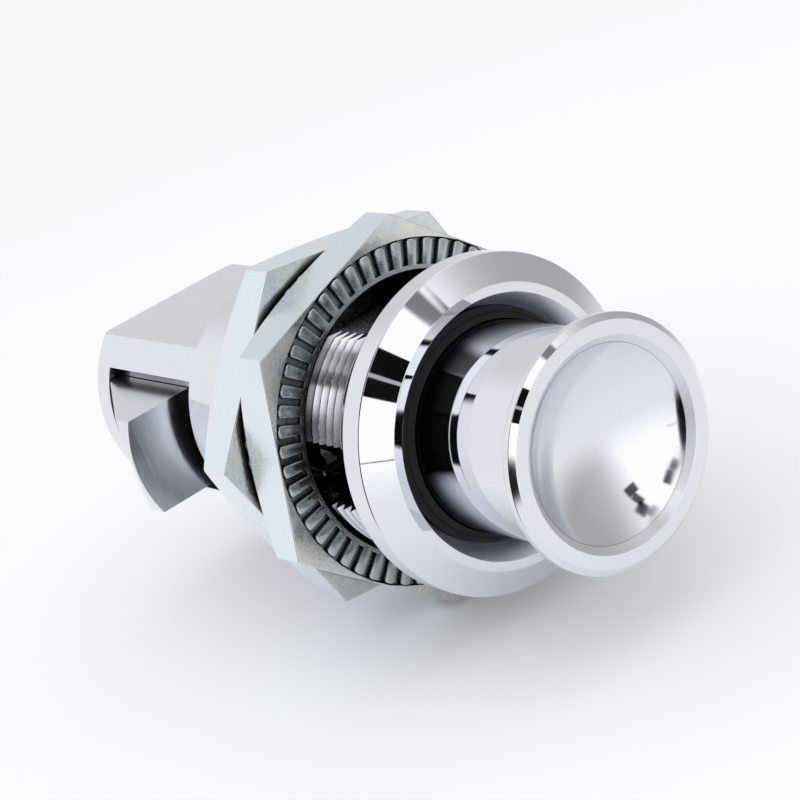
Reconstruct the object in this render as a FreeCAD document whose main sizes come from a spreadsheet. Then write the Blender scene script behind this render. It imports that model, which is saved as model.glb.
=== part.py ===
import FreeCAD, Part
import math
import os

import Sketcher
from FreeCAD import Placement, Rotation, Vector

# Push-knob cylinder lock for a cabinet door. Millimetres.
# The origin is the centre of the rosette's back face, where the door panel seats.
# +Y runs along the lock from the knob to the rear cap, +Z is up through the flat on the
# housing, and the latch bolt comes out towards -X.

# Sizes that are set by themselves. What fits another piece is worked out below from these.
SIZES = [
    ("knob_stand", 15.8, "panel seat to the knob's front face, knob out"),
    ("neck_r", 8.5, "knob neck and sliding tube"),
    ("flange_w", 1.5, "knob flange beyond the neck"),
    ("knob_land", 0.95, "straight edge of the flange"),
    ("knob_taper", 1.3, "length of the taper behind the flange"),
    ("dish_wall", 0.8, "neck's skin to the dished insert"),
    ("rim_bevel_w", 0.65, "width of the bevel between the rim and the dish"),
    ("rim_drop", 0.5, "depth of the bevel between the rim and the dish"),
    ("dish_sink", 2.9, "depth of the dish below its own edge"),
    ("dish_height", 3.9, "length of the insert"),
    ("web", 1.4, "wall behind the insert"),
    ("tube_wall", 1.9, "wall of the sliding tube"),
    ("tube_room", 2.0, "tube's rear end to the barrel's, knob pushed in"),
    ("knob_travel", 10.9, "how far the knob pushes in"),
    ("pull_travel", 4.0, "how far the knob pulls out to draw the bolt"),
    ("bolt_travel", 5.5, "how far the bolt draws in"),
    ("running", 0.07, "radial clearance of a sliding or turning fit"),
    ("seat_gap", 0.02, "radial clearance of pieces fixed to each other"),
    ("seal_w", 0.6, "width of the dust seal's gap round the neck"),
    ("seal_pocket", 1.2, "panel seat to the end of the seal's pocket"),
    ("seal_slack", 0.05, "clearance behind the seal"),
    ("seal_lip", 0.45, "how far the seal's lip stands out of the throat"),
    ("rosette_depth", 3.6, "rosette, front to back"),
    ("rosette_land", 2.0, "straight edge of the rosette"),
    ("rosette_cone_w", 2.3, "width of the rosette's outer cone"),
    ("rosette_face_w", 0.8, "width of the rosette's flat front ring"),
    ("recess_w", 1.65, "width of the recess cone round the neck"),
    ("recess_depth", 1.7, "length of the recess cone"),
    ("spigot_depth", 2.4, "how far the barrel reaches into the rosette"),
    ("edge_break", 0.12, "small rounding of turned edges"),
    ("thread_depth", 0.55, "depth of the barrel thread"),
    ("pitch", 1.0, "thread pitch"),
    ("plain_shank", 2.5, "plain shoulder in front of the thread"),
    ("thread_runout", 0.6, "plain length behind the thread"),
    ("barrel_len", 18.6, "panel seat to the front of the housing"),
    ("barrel_wall", 1.38, "wall of the barrel's rear spigot"),
    ("tail_len", 7.8, "length of the barrel's rear spigot"),
    ("barrel_flat", 1.65, "depth of the flat on the barrel's thread"),
    ("slot_margin", 1.1, "barrel's slot beyond the tube's track, each side"),
    ("collar_wall", 1.03, "wall of the housing round the barrel's spigot"),
    ("flat_depth", 3.05, "depth of the flat on the housing"),
    ("window_back", 1.1, "barrel's rear end to the front wall of the bolt window"),
    ("window_margin", 1.1, "window beyond the bolt, top and bottom"),
    ("window_sink", 2.2, "depth of the wide mouth of the window"),
    ("partition_gap", 0.1, "barrel's rear end to the partition"),
    ("partition_wall", 2.83, "partition between barrel and bolt"),
    ("boss_back", 1.4, "front of the housing to the front of the guide boss"),
    ("boss_gap", 0.6, "guide boss to the retaining ring"),
    ("chamber_wall", 2.4, "wall behind the bolt spring"),
    ("cap_thick", 2.7, "rear cap"),
    ("cap_round", 0.7, "rounding of the cap's rear edge"),
    ("cap_screw_x", 4.6, "cap screws, either side of the axis"),
    ("cap_screw_drop", 2.7, "cap screws below the bolt's lower face"),
    ("cap_screw_r", 1.0, "cap screw thread"),
    ("cap_head_r", 1.9, "cap screw head"),
    ("cap_screw_len", 7.0, "cap screw"),
    ("set_screw_back", 3.9, "front of the housing to the set screw and the wire's pivot"),
    ("set_screw_r", 1.25, "set screw"),
    ("set_screw_tip", 0.35, "set screw tip to the sliding tube"),
    ("bolt_len", 12.1, "bolt, front to back"),
    ("bolt_half", 4.5, "half height of the bolt"),
    ("bolt_land", 2.1, "straight part of the bolt's tip, top and bottom"),
    ("bolt_tail", 2.6, "bolt's tail past the axis, bolt out"),
    ("bolt_gap", 0.2, "bolt to the rear cap"),
    ("tongue_half_w", 2.0, "half width of the spindle's tongue"),
    ("tongue_half_t", 1.5, "half thickness of the spindle's tongue"),
    ("tongue_gap", 0.15, "clearance round the tongue inside the bolt"),
    ("tongue_nose", 1.6, "tongue past the drive pin"),
    ("pin_back", 6.2, "bolt's front face to the drive pin"),
    ("pin_r", 1.0, "drive pin"),
    ("pin_short", 0.3, "drive pin short of the bolt's face, top and bottom"),
    ("spring_back", 2.15, "bolt spring's axis to the bolt's back"),
    ("spring_pocket_x", 7.5, "axis to the bottom of the bolt spring's pocket"),
    ("bolt_coil_r", 1.1, "mean radius of the bolt spring"),
    ("bolt_wire_r", 0.2, "wire of the bolt spring"),
    ("pocket_gap", 0.15, "bolt spring to its pocket's wall"),
    ("bolt_turns", 12, "turns of the bolt spring"),
    ("rod_r", 3.0, "spindle rod"),
    ("rod_short", 1.4, "spindle rod's rear end to the bolt"),
    ("ring_back", 2.3, "tube's rear end to the spindle head's back"),
    ("stud_r", 2.0, "spindle stud"),
    ("head_thick", 2.0, "spindle head"),
    ("washer_thick", 0.5, "spring washer"),
    ("washer_gap", 0.3, "spring washer to the sliding tube"),
    ("spindle_nut_thick", 1.5, "nut on the spindle"),
    ("spindle_nut_w", 0.9, "nut on the spindle, corner beyond the stud"),
    ("stud_proud", 0.3, "stud past its nut"),
    ("ring_thick", 0.7, "retaining ring"),
    ("ring_bite", 0.5, "depth of the retaining ring's groove"),
    ("ring_reach", 1.0, "retaining ring inside the sliding tube's bore"),
    ("ring_gap_half", 1.2, "half of the opening in the retaining ring"),
    ("ring_slack", 0.1, "end clearance of the retaining ring"),
    ("knob_wire_r", 0.45, "wire of the knob spring"),
    ("coil_gap", 0.95, "knob spring to the sliding tube"),
    ("knob_turns", 6, "turns of the knob spring"),
    ("wire_r", 0.45, "latch wire"),
    ("wire_lead", 2.5, "latch wire's tip to the tube's rear end, knob out"),
    ("wire_swing", 6.5, "swing of the latch wire either side, in degrees"),
    ("wire_gap", 0.15, "latch wire to the sides and the floor of its track"),
    ("track_depth", 0.9, "depth of the track in the sliding tube"),
    ("island_len", 5.6, "length of the track's island"),
    ("island_head", 0.6, "free length in front of the island"),
    ("pivot_wall", 0.2, "housing wall left outside the wire's pivot"),
    ("nut_wall", 3.05, "nut's bore to its flats"),
    ("nut_thick", 4.9, "nut"),
    ("nut_front", 8.0, "panel seat to the front nut"),
    ("nut_pair_gap", 0.2, "front nut's back to rear nut's face"),
    ("nut_clearance", 0.1, "nut bore to thread crest"),
    ("nut_mouth_w", 0.35, "countersink of the nut's bore beyond the thread"),
    ("nut_back_w", 0.7, "nut's flat to the edge of its round back face"),
    ("rib_margin", 0.2, "nut's flat to the ring of ribs"),
    ("ring_sink", 0.35, "floor of the ring of ribs below the face"),
    ("rib_rise", 0.15, "ribs above the nut's face"),
    ("rib_w", 0.95, "rib"),
    ("rib_strip", 0.45, "plain ring inside the ribs"),
    ("rib_count", 54, "ribs on a nut"),
    ("front_nut_angle", 79.2, "corner of the front nut from +X, in degrees"),
    ("rear_nut_angle", 112.2, "corner of the rear nut from +X, in degrees"),
    ("over", 1.0, "how far a cutting form runs past a face"),
    ("root", 0.1, "how far one form runs into the next"),
    ("skim", 0.001, "overlap that keeps two faces from coinciding"),
]

# Radii, from the sliding tube outwards
BORE_R = "(Sizes.neck_r + Sizes.running)"
TAIL_R = f"({BORE_R} + Sizes.barrel_wall)"
HOUSING_R = f"({TAIL_R} + Sizes.seat_gap + Sizes.collar_wall)"
THREAD_R = f"({HOUSING_R} + Sizes.thread_depth)"
THROAT_R = "(Sizes.neck_r + Sizes.seal_w)"
RECESS_R = f"({THROAT_R} + Sizes.recess_w)"
ROSETTE_FACE_R = f"({RECESS_R} + Sizes.rosette_face_w)"
ROSETTE_R = f"({ROSETTE_FACE_R} + Sizes.rosette_cone_w)"
SEAM_R = (f"({RECESS_R} - Sizes.recess_w"
          " * (Sizes.rosette_depth - Sizes.spigot_depth) / Sizes.recess_depth)")
NUT_MOUTH_R = f"({THREAD_R} + Sizes.nut_mouth_w)"
STRIP_R = f"({NUT_MOUTH_R} + Sizes.rib_strip)"
NUT_FLAT_R = f"({THREAD_R} + Sizes.nut_clearance + Sizes.nut_wall)"
NUT_BACK_R = f"({NUT_FLAT_R} - Sizes.nut_back_w)"
RIB_RING_R = f"({NUT_FLAT_R} - Sizes.rib_margin)"

# Radii, from the sliding tube inwards
KNOB_R = "(Sizes.neck_r + Sizes.flange_w)"
DISH_R = "(Sizes.neck_r - Sizes.dish_wall)"
KNOB_FACE_R = f"({DISH_R} + Sizes.rim_bevel_w)"
TUBE_BORE_R = "(Sizes.neck_r - Sizes.tube_wall)"
TRACK_FLOOR = "(Sizes.neck_r - Sizes.track_depth)"
RING_GROOVE_R = f"({TUBE_BORE_R} + Sizes.ring_bite)"
KNOB_COIL_R = f"({TUBE_BORE_R} - Sizes.coil_gap - Sizes.knob_wire_r)"
WASHER_R = f"({TUBE_BORE_R} - Sizes.washer_gap)"
RING_BORE_R = f"({TUBE_BORE_R} - Sizes.ring_reach)"
BOSS_R = f"({RING_BORE_R} - Sizes.boss_gap)"
SPINDLE_NUT_R = "(Sizes.stud_r + Sizes.spindle_nut_w)"
POCKET_R = "(Sizes.bolt_coil_r + Sizes.bolt_wire_r + Sizes.pocket_gap)"

# Heights
FLAT_HEIGHT = f"({HOUSING_R} - Sizes.flat_depth)"
WINDOW_HALF = "(Sizes.bolt_half + Sizes.window_margin)"
CAP_SCREW_Z = "(Sizes.bolt_half + Sizes.cap_screw_drop)"
PIN_HALF = "(Sizes.bolt_half - Sizes.pin_short)"

# Stations along the lock
BARREL_END = "(Sizes.barrel_len + Sizes.tail_len)"
TUBE_END = f"({BARREL_END} - Sizes.knob_travel - Sizes.tube_room)"
SET_SCREW_Y = "(Sizes.barrel_len + Sizes.set_screw_back)"
BOSS_START = "(Sizes.barrel_len + Sizes.boss_back)"
WINDOW_FRONT = f"({BARREL_END} + Sizes.window_back)"
BOLT_FRONT = f"({BARREL_END} + Sizes.partition_gap + Sizes.partition_wall + Sizes.running)"
BOLT_BACK = f"({BOLT_FRONT} + Sizes.bolt_len)"
CAP_SEAT = f"({BOLT_BACK} + Sizes.bolt_gap)"
PIN_Y = f"({BOLT_FRONT} + Sizes.pin_back)"
SPRING_Y = f"({BOLT_BACK} - Sizes.spring_back)"
ROD_START = f"({TUBE_END} - Sizes.ring_back)"
ROD_END = f"({BOLT_FRONT} - Sizes.rod_short)"
HEAD_FRONT = f"({ROD_START} - Sizes.head_thick)"
WASHER_FRONT = f"({HEAD_FRONT} - Sizes.washer_thick)"
SPINDLE_NUT_FRONT = f"({WASHER_FRONT} - Sizes.spindle_nut_thick)"
STUD_FRONT = f"({SPINDLE_NUT_FRONT} - Sizes.stud_proud)"
WEB_FRONT = "(Sizes.rim_drop + Sizes.dish_height - Sizes.knob_stand)"
WEB_BACK = f"({WEB_FRONT} + Sizes.web)"
WIRE_TIP_Y = f"({TUBE_END} - Sizes.wire_lead)"
REAR_NUT_FRONT = "(Sizes.nut_front + Sizes.nut_thick + Sizes.nut_pair_gap)"

# The latch wire's swing sets the width of its track, of the island and of the barrel's slot
SWING_REACH = f"(({SET_SCREW_Y} - {WIRE_TIP_Y}) * sin(Sizes.wire_swing * 1 deg))"
WIRE_ROOM = "(Sizes.wire_r + Sizes.wire_gap)"
TRACK_HALF = f"({SWING_REACH} + {WIRE_ROOM})"
ISLAND_HALF = f"({SWING_REACH} - {WIRE_ROOM})"
SLOT_HALF = f"({TRACK_HALF} + Sizes.slot_margin)"
WIRE_X = f"(-(Sizes.neck_r + {TAIL_R}) / 2)"

NUT_BEVEL = math.tan(math.radians(30))

document = FreeCAD.newDocument("cabinet_lock")
sheet = document.addObject("Spreadsheet::Sheet", "Sizes")
for row, (alias, start_value, meaning) in enumerate(SIZES, start=1):
    sheet.set(f"A{row}", meaning)
    sheet.set(f"B{row}", str(start_value))
    sheet.setAlias(f"B{row}", alias)
document.recompute()
nodes = []

TURN_TO = {
    "x": Rotation(Vector(0, 1, 0), 90),
    "y": Rotation(Vector(1, 0, 0), -90),
    "z": Rotation(),
}


def number(expression):
    """The present value of a sheet expression."""
    return float(sheet.evalExpression(expression))


def bind(target, prop, expression):
    """Ties one property of an object to the sheet."""
    target.setExpression(prop, expression)


def node(label, finished):
    """Marks an object as one finished sub-part."""
    finished.Label = label
    nodes.append(finished)
    return finished


def new_body(label):
    body = document.addObject("PartDesign::Body", label + "_body")
    return node(label, body)


def origin_part(body, role):
    """An axis or plane of a body's own origin."""
    return next(item for item in body.Origin.OriginFeatures if item.Role == role)


def outline_sketch(body, name, outline, plane="XY_Plane", lift=None):
    """A closed outline whose corners are each a pair of sheet expressions."""
    sketch = body.newObject("Sketcher::SketchObject", name)
    sketch.AttachmentSupport = (origin_part(body, plane), [""])
    sketch.MapMode = "FlatFace"
    if lift:
        bind(sketch, "AttachmentOffset.Base.z", lift)
    count = len(outline)
    corners = [Vector(number(across), number(along), 0) for across, along in outline]
    for i in range(count):
        sketch.addGeometry(Part.LineSegment(corners[i], corners[(i + 1) % count]), False)
    for i in range(count):
        sketch.addConstraint(Sketcher.Constraint("Coincident", i, 2, (i + 1) % count, 1))
    for i, (across, along) in enumerate(outline):
        for kind, expression, axis, start in (
            ("DistanceX", across, -2, corners[i].x),
            ("DistanceY", along, -1, corners[i].y),
        ):
            if expression == "0":
                sketch.addConstraint(Sketcher.Constraint("PointOnObject", i, 1, axis))
                continue
            label = f"{kind[-1].lower()}{i}"
            index = sketch.addConstraint(Sketcher.Constraint(kind, -1, 1, i, 1, start))
            sketch.renameConstraint(index, label)
            bind(sketch, f"Constraints.{label}", expression)
    return sketch


def turned(body, name, outline, cut=False):
    """Adds or cuts a form turned about the lock's axis: corners are (radius, station)."""
    sketch = outline_sketch(body, name + "_outline", outline)
    kind = "PartDesign::Groove" if cut else "PartDesign::Revolution"
    feature = body.newObject(kind, name)
    feature.Profile = sketch
    feature.ReferenceAxis = (sketch, ["V_Axis"])
    feature.Angle = 360
    document.recompute()
    return feature


def raised(body, name, sketch, length):
    """Adds a sketch's form against the direction its plane faces."""
    feature = body.newObject("PartDesign::Pad", name)
    feature.Profile = sketch
    feature.Reversed = True
    bind(feature, "Length", length)
    document.recompute()
    return feature


def box(body, name, x, y, z, cut=True):
    """Adds or cuts a box between pairs of sheet expressions."""
    kind = "PartDesign::SubtractiveBox" if cut else "PartDesign::AdditiveBox"
    feature = body.newObject(kind, name)
    for (low, high), length, axis in zip((x, y, z), ("Length", "Width", "Height"), "xyz"):
        bind(feature, length, f"({high}) - ({low})")
        bind(feature, f"Placement.Base.{axis}", low)
    return feature


def round_bar(body, name, axis, start, radius, length, cut=True, tip_radius=None):
    """Adds or cuts a cylinder, or a cone when tip_radius is given, along one axis."""
    shape = "Cone" if tip_radius else "Cylinder"
    kind = ("PartDesign::Subtractive" if cut else "PartDesign::Additive") + shape
    feature = body.newObject(kind, name)
    feature.Placement = Placement(Vector(), TURN_TO[axis])
    for letter, expression in zip("xyz", start):
        bind(feature, f"Placement.Base.{letter}", expression)
    bind(feature, "Height", length)
    if tip_radius:
        bind(feature, "Radius1", radius)
        bind(feature, "Radius2", tip_radius)
    else:
        bind(feature, "Radius", radius)
    return feature


def hexagon(body, name, corner_r, front, length, cut=False):
    """Adds or cuts a hexagonal bar along the lock's axis."""
    kind = "PartDesign::SubtractivePrism" if cut else "PartDesign::AdditivePrism"
    feature = body.newObject(kind, name)
    feature.Polygon = 6
    feature.Placement = Placement(Vector(), TURN_TO["y"])
    bind(feature, "Circumradius", corner_r)
    bind(feature, "Height", length)
    bind(feature, "Placement.Base.y", front)
    return feature


def round_edges(body, name, rings, radius="Sizes.edge_break"):
    """Rounds the circular edges at the given places, each a radius and a station."""
    document.recompute()
    base = body.Tip
    places = [(number(ring_r), number(station)) for ring_r, station in rings]
    edges = []
    for index, edge in enumerate(base.Shape.Edges, start=1):
        if not isinstance(edge.Curve, Part.Circle):
            continue
        found = (edge.Curve.Radius, edge.Curve.Center.y)
        if any(math.dist(found, place) < number("Sizes.skim") for place in places):
            edges.append(f"Edge{index}")
    feature = body.newObject("PartDesign::Fillet", name)
    feature.Base = (base, edges)
    bind(feature, "Radius", radius)
    document.recompute()
    return feature


# Rosette: the turned trim ring that covers the hole in the panel
def make_rosette():
    body = new_body("rosette")
    front = "-Sizes.rosette_depth"
    bore = f"{THREAD_R} + Sizes.seat_gap"
    turned(body, "rosette_ring", [
        (RECESS_R, front),
        (ROSETTE_FACE_R, front),
        (ROSETTE_R, "-Sizes.rosette_land"),
        (ROSETTE_R, "0"),
        (bore, "0"),
        (bore, "-Sizes.spigot_depth"),
        (SEAM_R, "-Sizes.spigot_depth"),
    ])
    round_edges(body, "rosette_edges", [
        (RECESS_R, front),
        (ROSETTE_FACE_R, front),
        (ROSETTE_R, "-Sizes.rosette_land"),
        (ROSETTE_R, "0"),
    ])


# Barrel: the slotted tube with the outer thread, which guides the knob's tube
def make_barrel():
    body = new_body("barrel")
    turned(body, "barrel_tube", [
        (SEAM_R, "-Sizes.spigot_depth"),
        (THREAD_R, "-Sizes.spigot_depth"),
        (THREAD_R, "Sizes.barrel_len"),
        (TAIL_R, "Sizes.barrel_len"),
        (TAIL_R, BARREL_END),
        (BORE_R, BARREL_END),
        (BORE_R, "Sizes.seal_pocket"),
        (THROAT_R, "Sizes.seal_pocket"),
        (THROAT_R, "Sizes.recess_depth - Sizes.rosette_depth"),
    ])
    first = "Sizes.plain_shank + Sizes.pitch / 2"
    half_mouth = "(Sizes.pitch / 2 - Sizes.root / 2)"
    outside = f"{THREAD_R} + Sizes.root"
    thread = turned(body, "thread_groove", [
        (HOUSING_R, first),
        (outside, f"{first} + {half_mouth}"),
        (outside, f"{first} - {half_mouth}"),
    ], cut=True)
    turns = "floor((Sizes.barrel_len - Sizes.plain_shank - Sizes.thread_runout) / Sizes.pitch)"
    row = body.newObject("PartDesign::LinearPattern", "thread_row")
    row.Originals = [thread]
    row.Direction = (origin_part(body, "Y_Axis"), [""])
    bind(row, "Occurrences", turns)
    bind(row, "Length", f"Sizes.pitch * ({turns} - 1)")
    body.Tip = row
    box(body, "barrel_slot",
        (f"-2 * {THREAD_R}", "-Sizes.neck_r / 2"),
        ("Sizes.plain_shank + Sizes.root", f"{BARREL_END} + Sizes.over"),
        (f"-{SLOT_HALF}", SLOT_HALF))
    box(body, "thread_flat",
        (f"-{THREAD_R}", THREAD_R),
        ("0", "Sizes.barrel_len"),
        (f"{THREAD_R} - Sizes.barrel_flat", outside))
    round_bar(body, "set_screw_hole", "z", ("0", SET_SCREW_Y, f"-{HOUSING_R}"),
              "Sizes.set_screw_r", f"{HOUSING_R} / 2")
    document.recompute()


# Housing: the rear sleeve with the guide boss, the bolt chamber, the window and the flat
def make_housing():
    body = new_body("housing")
    rod_bore = "Sizes.rod_r + Sizes.running"
    socket = f"{TAIL_R} + Sizes.seat_gap"
    partition = f"{BARREL_END} + Sizes.partition_gap"
    turned(body, "housing_sleeve", [
        (socket, "Sizes.barrel_len"),
        (HOUSING_R, "Sizes.barrel_len"),
        (HOUSING_R, CAP_SEAT),
        (rod_bore, CAP_SEAT),
        (rod_bore, BOSS_START),
        (BOSS_R, BOSS_START),
        (BOSS_R, partition),
        (socket, partition),
    ])
    round_edges(body, "collar_edge", [(HOUSING_R, "Sizes.barrel_len")])
    outside = f"-{HOUSING_R} - Sizes.over"
    behind = f"{CAP_SEAT} + Sizes.over"
    room = "(Sizes.bolt_half + Sizes.running)"
    box(body, "bolt_chamber",
        (outside, f"{HOUSING_R} - Sizes.chamber_wall"),
        (f"{BOLT_FRONT} - Sizes.running", behind),
        (f"-{room}", room))
    box(body, "window_mouth",
        (outside, f"Sizes.window_sink - {HOUSING_R}"),
        (WINDOW_FRONT, behind),
        (f"-{WINDOW_HALF}", WINDOW_HALF))
    box(body, "top_flat",
        (f"-{HOUSING_R}", HOUSING_R),
        (WINDOW_FRONT, behind),
        (FLAT_HEIGHT, f"{HOUSING_R} + Sizes.over"))
    round_bar(body, "wire_pivot_hole", "x",
              (f"-{HOUSING_R} + Sizes.pivot_wall", SET_SCREW_Y, "0"),
              "Sizes.wire_r + Sizes.running", f"{HOUSING_R} - {BORE_R}")
    round_bar(body, "set_screw_hole", "z", ("0", SET_SCREW_Y, f"-{HOUSING_R} - Sizes.over"),
              "Sizes.set_screw_r", f"{HOUSING_R} - {BORE_R} + Sizes.over")
    for side, word in ((-1, "left"), (1, "right")):
        round_bar(body, f"cap_screw_hole_{word}", "y",
                  (f"{side} * Sizes.cap_screw_x",
                   f"{CAP_SEAT} + Sizes.cap_thick - Sizes.cap_screw_len - Sizes.root",
                   f"-{CAP_SCREW_Z}"),
                  "Sizes.cap_screw_r", "Sizes.cap_screw_len")
    document.recompute()


# End cap: the rear wall of the bolt window, held by two countersunk screws
def make_end_cap():
    body = new_body("end_cap")
    back = f"({CAP_SEAT} + Sizes.cap_thick)"
    hole = "Sizes.cap_screw_r + Sizes.seat_gap"
    sink = "(Sizes.cap_head_r - Sizes.cap_screw_r)"
    turned(body, "cap_disc", [
        ("0", CAP_SEAT),
        (HOUSING_R, CAP_SEAT),
        (HOUSING_R, back),
        ("0", back),
    ])
    round_edges(body, "cap_edge", [(HOUSING_R, back)], "Sizes.cap_round")
    box(body, "cap_flat",
        (f"-{HOUSING_R}", HOUSING_R),
        (f"{CAP_SEAT} - Sizes.over", f"{back} + Sizes.over"),
        (FLAT_HEIGHT, f"{HOUSING_R} + Sizes.over"))
    for side, word in ((-1, "left"), (1, "right")):
        place = f"{side} * Sizes.cap_screw_x"
        round_bar(body, f"screw_hole_{word}", "y",
                  (place, f"{CAP_SEAT} - Sizes.over", f"-{CAP_SCREW_Z}"),
                  hole, "Sizes.cap_thick + 2 * Sizes.over")
        round_bar(body, f"screw_sink_{word}", "y", (place, f"{back} - {sink}", f"-{CAP_SCREW_Z}"),
                  hole, f"{sink} + Sizes.skim", tip_radius="Sizes.cap_head_r + Sizes.seat_gap")
    document.recompute()


# Dust seal: the black ring in the throat, round the sliding neck
def make_dust_seal():
    body = new_body("dust_seal")
    front = "Sizes.recess_depth - Sizes.rosette_depth"
    back = "Sizes.seal_pocket - Sizes.seal_slack"
    lip_root = "Sizes.neck_r + Sizes.seal_w / 2"
    rim = f"{THROAT_R} - Sizes.seat_gap"
    turned(body, "seal_ring", [
        (BORE_R, f"{front} - Sizes.seal_lip"),
        (rim, front),
        (rim, back),
        (lip_root, back),
    ])


# Set screw: ties the barrel's rear spigot to the housing
def make_set_screw():
    body = new_body("set_screw")
    round_bar(body, "screw_bar", "z", ("0", SET_SCREW_Y, f"-{HOUSING_R} + Sizes.edge_break"),
              "Sizes.set_screw_r - Sizes.seat_gap",
              f"{HOUSING_R} - Sizes.neck_r - Sizes.set_screw_tip - Sizes.edge_break", cut=False)
    socket = body.newObject("PartDesign::SubtractivePrism", "screw_socket")
    socket.Polygon = 6
    bind(socket, "Circumradius", "Sizes.set_screw_r / 2")
    bind(socket, "Height", "Sizes.set_screw_r")
    bind(socket, "Placement.Base.y", SET_SCREW_Y)
    bind(socket, "Placement.Base.z", f"-{HOUSING_R}")
    document.recompute()


# Hexagon nuts with a ring of radial ribs on the front face
def make_nut(label, front, turn):
    body = new_body(label)
    corner = f"({NUT_FLAT_R} / cos(30 deg))"
    past_corner = f"({corner} + Sizes.over)"
    back = f"({front} + Sizes.nut_thick)"
    floor = f"({front} + Sizes.ring_sink)"
    before = f"{front} - Sizes.over"
    bore = f"{THREAD_R} + Sizes.nut_clearance"
    hexagon(body, label + "_hexagon", corner, front, "Sizes.nut_thick")
    turned(body, label + "_back_bevel", [
        (NUT_BACK_R, f"{back} + Sizes.skim"),
        (past_corner, f"{back} + Sizes.skim"),
        (past_corner, f"{back} - ({past_corner} - {NUT_BACK_R}) * {NUT_BEVEL:.6f}"),
    ], cut=True)
    turned(body, label + "_bore", [
        ("0", before),
        (NUT_MOUTH_R, before),
        (NUT_MOUTH_R, floor),
        (bore, f"{floor} + Sizes.nut_mouth_w"),
        (bore, f"{back} + Sizes.over"),
        ("0", f"{back} + Sizes.over"),
    ], cut=True)
    turned(body, label + "_ring_floor", [
        (STRIP_R, before),
        (f"{RIB_RING_R} + Sizes.over + Sizes.ring_sink", before),
        (RIB_RING_R, floor),
        (STRIP_R, floor),
    ], cut=True)
    half, nick = "Sizes.rib_w / 2", "Sizes.rib_w / 4"
    outline = outline_sketch(body, label + "_rib_outline", [
        (RIB_RING_R, nick),
        (f"{RIB_RING_R} - {nick}", half),
        (f"{STRIP_R} - Sizes.root + {nick}", half),
        (f"{STRIP_R} - Sizes.root", nick),
        (f"{STRIP_R} - Sizes.root", f"-{nick}"),
        (f"{STRIP_R} - Sizes.root + {nick}", f"-{half}"),
        (f"{RIB_RING_R} - {nick}", f"-{half}"),
        (RIB_RING_R, f"-{nick}"),
    ], "XZ_Plane", f"Sizes.rib_rise - {front}")
    rib = raised(body, label + "_rib", outline, "Sizes.rib_rise + Sizes.ring_sink + Sizes.root")
    ribs = body.newObject("PartDesign::PolarPattern", label + "_ribs")
    ribs.Originals = [rib]
    ribs.Axis = (origin_part(body, "Y_Axis"), [""])
    ribs.Angle = 360
    bind(ribs, "Occurrences", "Sizes.rib_count")
    body.Tip = ribs
    body.Placement = Placement(Vector(), Rotation(Vector(0, -1, 0), 1))
    bind(body, "Placement.Rotation.Angle", f"{turn} * 1 deg")
    document.recompute()


# Spindle: rod with a stud in front and a flat tongue behind
def make_spindle():
    body = new_body("spindle")
    turned(body, "spindle_rod", [
        ("0", STUD_FRONT),
        ("Sizes.stud_r", STUD_FRONT),
        ("Sizes.stud_r", ROD_START),
        ("Sizes.rod_r", ROD_START),
        ("Sizes.rod_r", ROD_END),
        ("0", ROD_END),
    ])
    box(body, "spindle_tongue",
        ("-Sizes.tongue_half_w", "Sizes.tongue_half_w"),
        (f"{ROD_END} - Sizes.root", f"{PIN_Y} + Sizes.tongue_nose"),
        ("-Sizes.tongue_half_t", "Sizes.tongue_half_t"), cut=False)
    round_bar(body, "pin_hole", "z", ("0", PIN_Y, "-2 * Sizes.tongue_half_t"),
              "Sizes.pin_r", "4 * Sizes.tongue_half_t")
    document.recompute()


def make_disc(label, outer, front, back):
    """A flat ring on the spindle's stud."""
    body = new_body(label)
    bore = "Sizes.stud_r + Sizes.seat_gap"
    turned(body, label + "_ring", [(bore, front), (outer, front), (outer, back), (bore, back)])


def make_spindle_nut():
    body = new_body("spindle_nut")
    hexagon(body, "small_hexagon", SPINDLE_NUT_R, SPINDLE_NUT_FRONT, "Sizes.spindle_nut_thick")
    round_bar(body, "small_nut_bore", "y", ("0", f"{SPINDLE_NUT_FRONT} - Sizes.over", "0"),
              "Sizes.stud_r + Sizes.seat_gap", "Sizes.spindle_nut_thick + 2 * Sizes.over")
    document.recompute()


def make_drive_pin():
    body = new_body("drive_pin")
    round_bar(body, "pin_bar", "z", ("0", PIN_Y, f"-{PIN_HALF}"),
              "Sizes.pin_r - Sizes.seat_gap", f"2 * {PIN_HALF}", cut=False)
    document.recompute()


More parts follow.
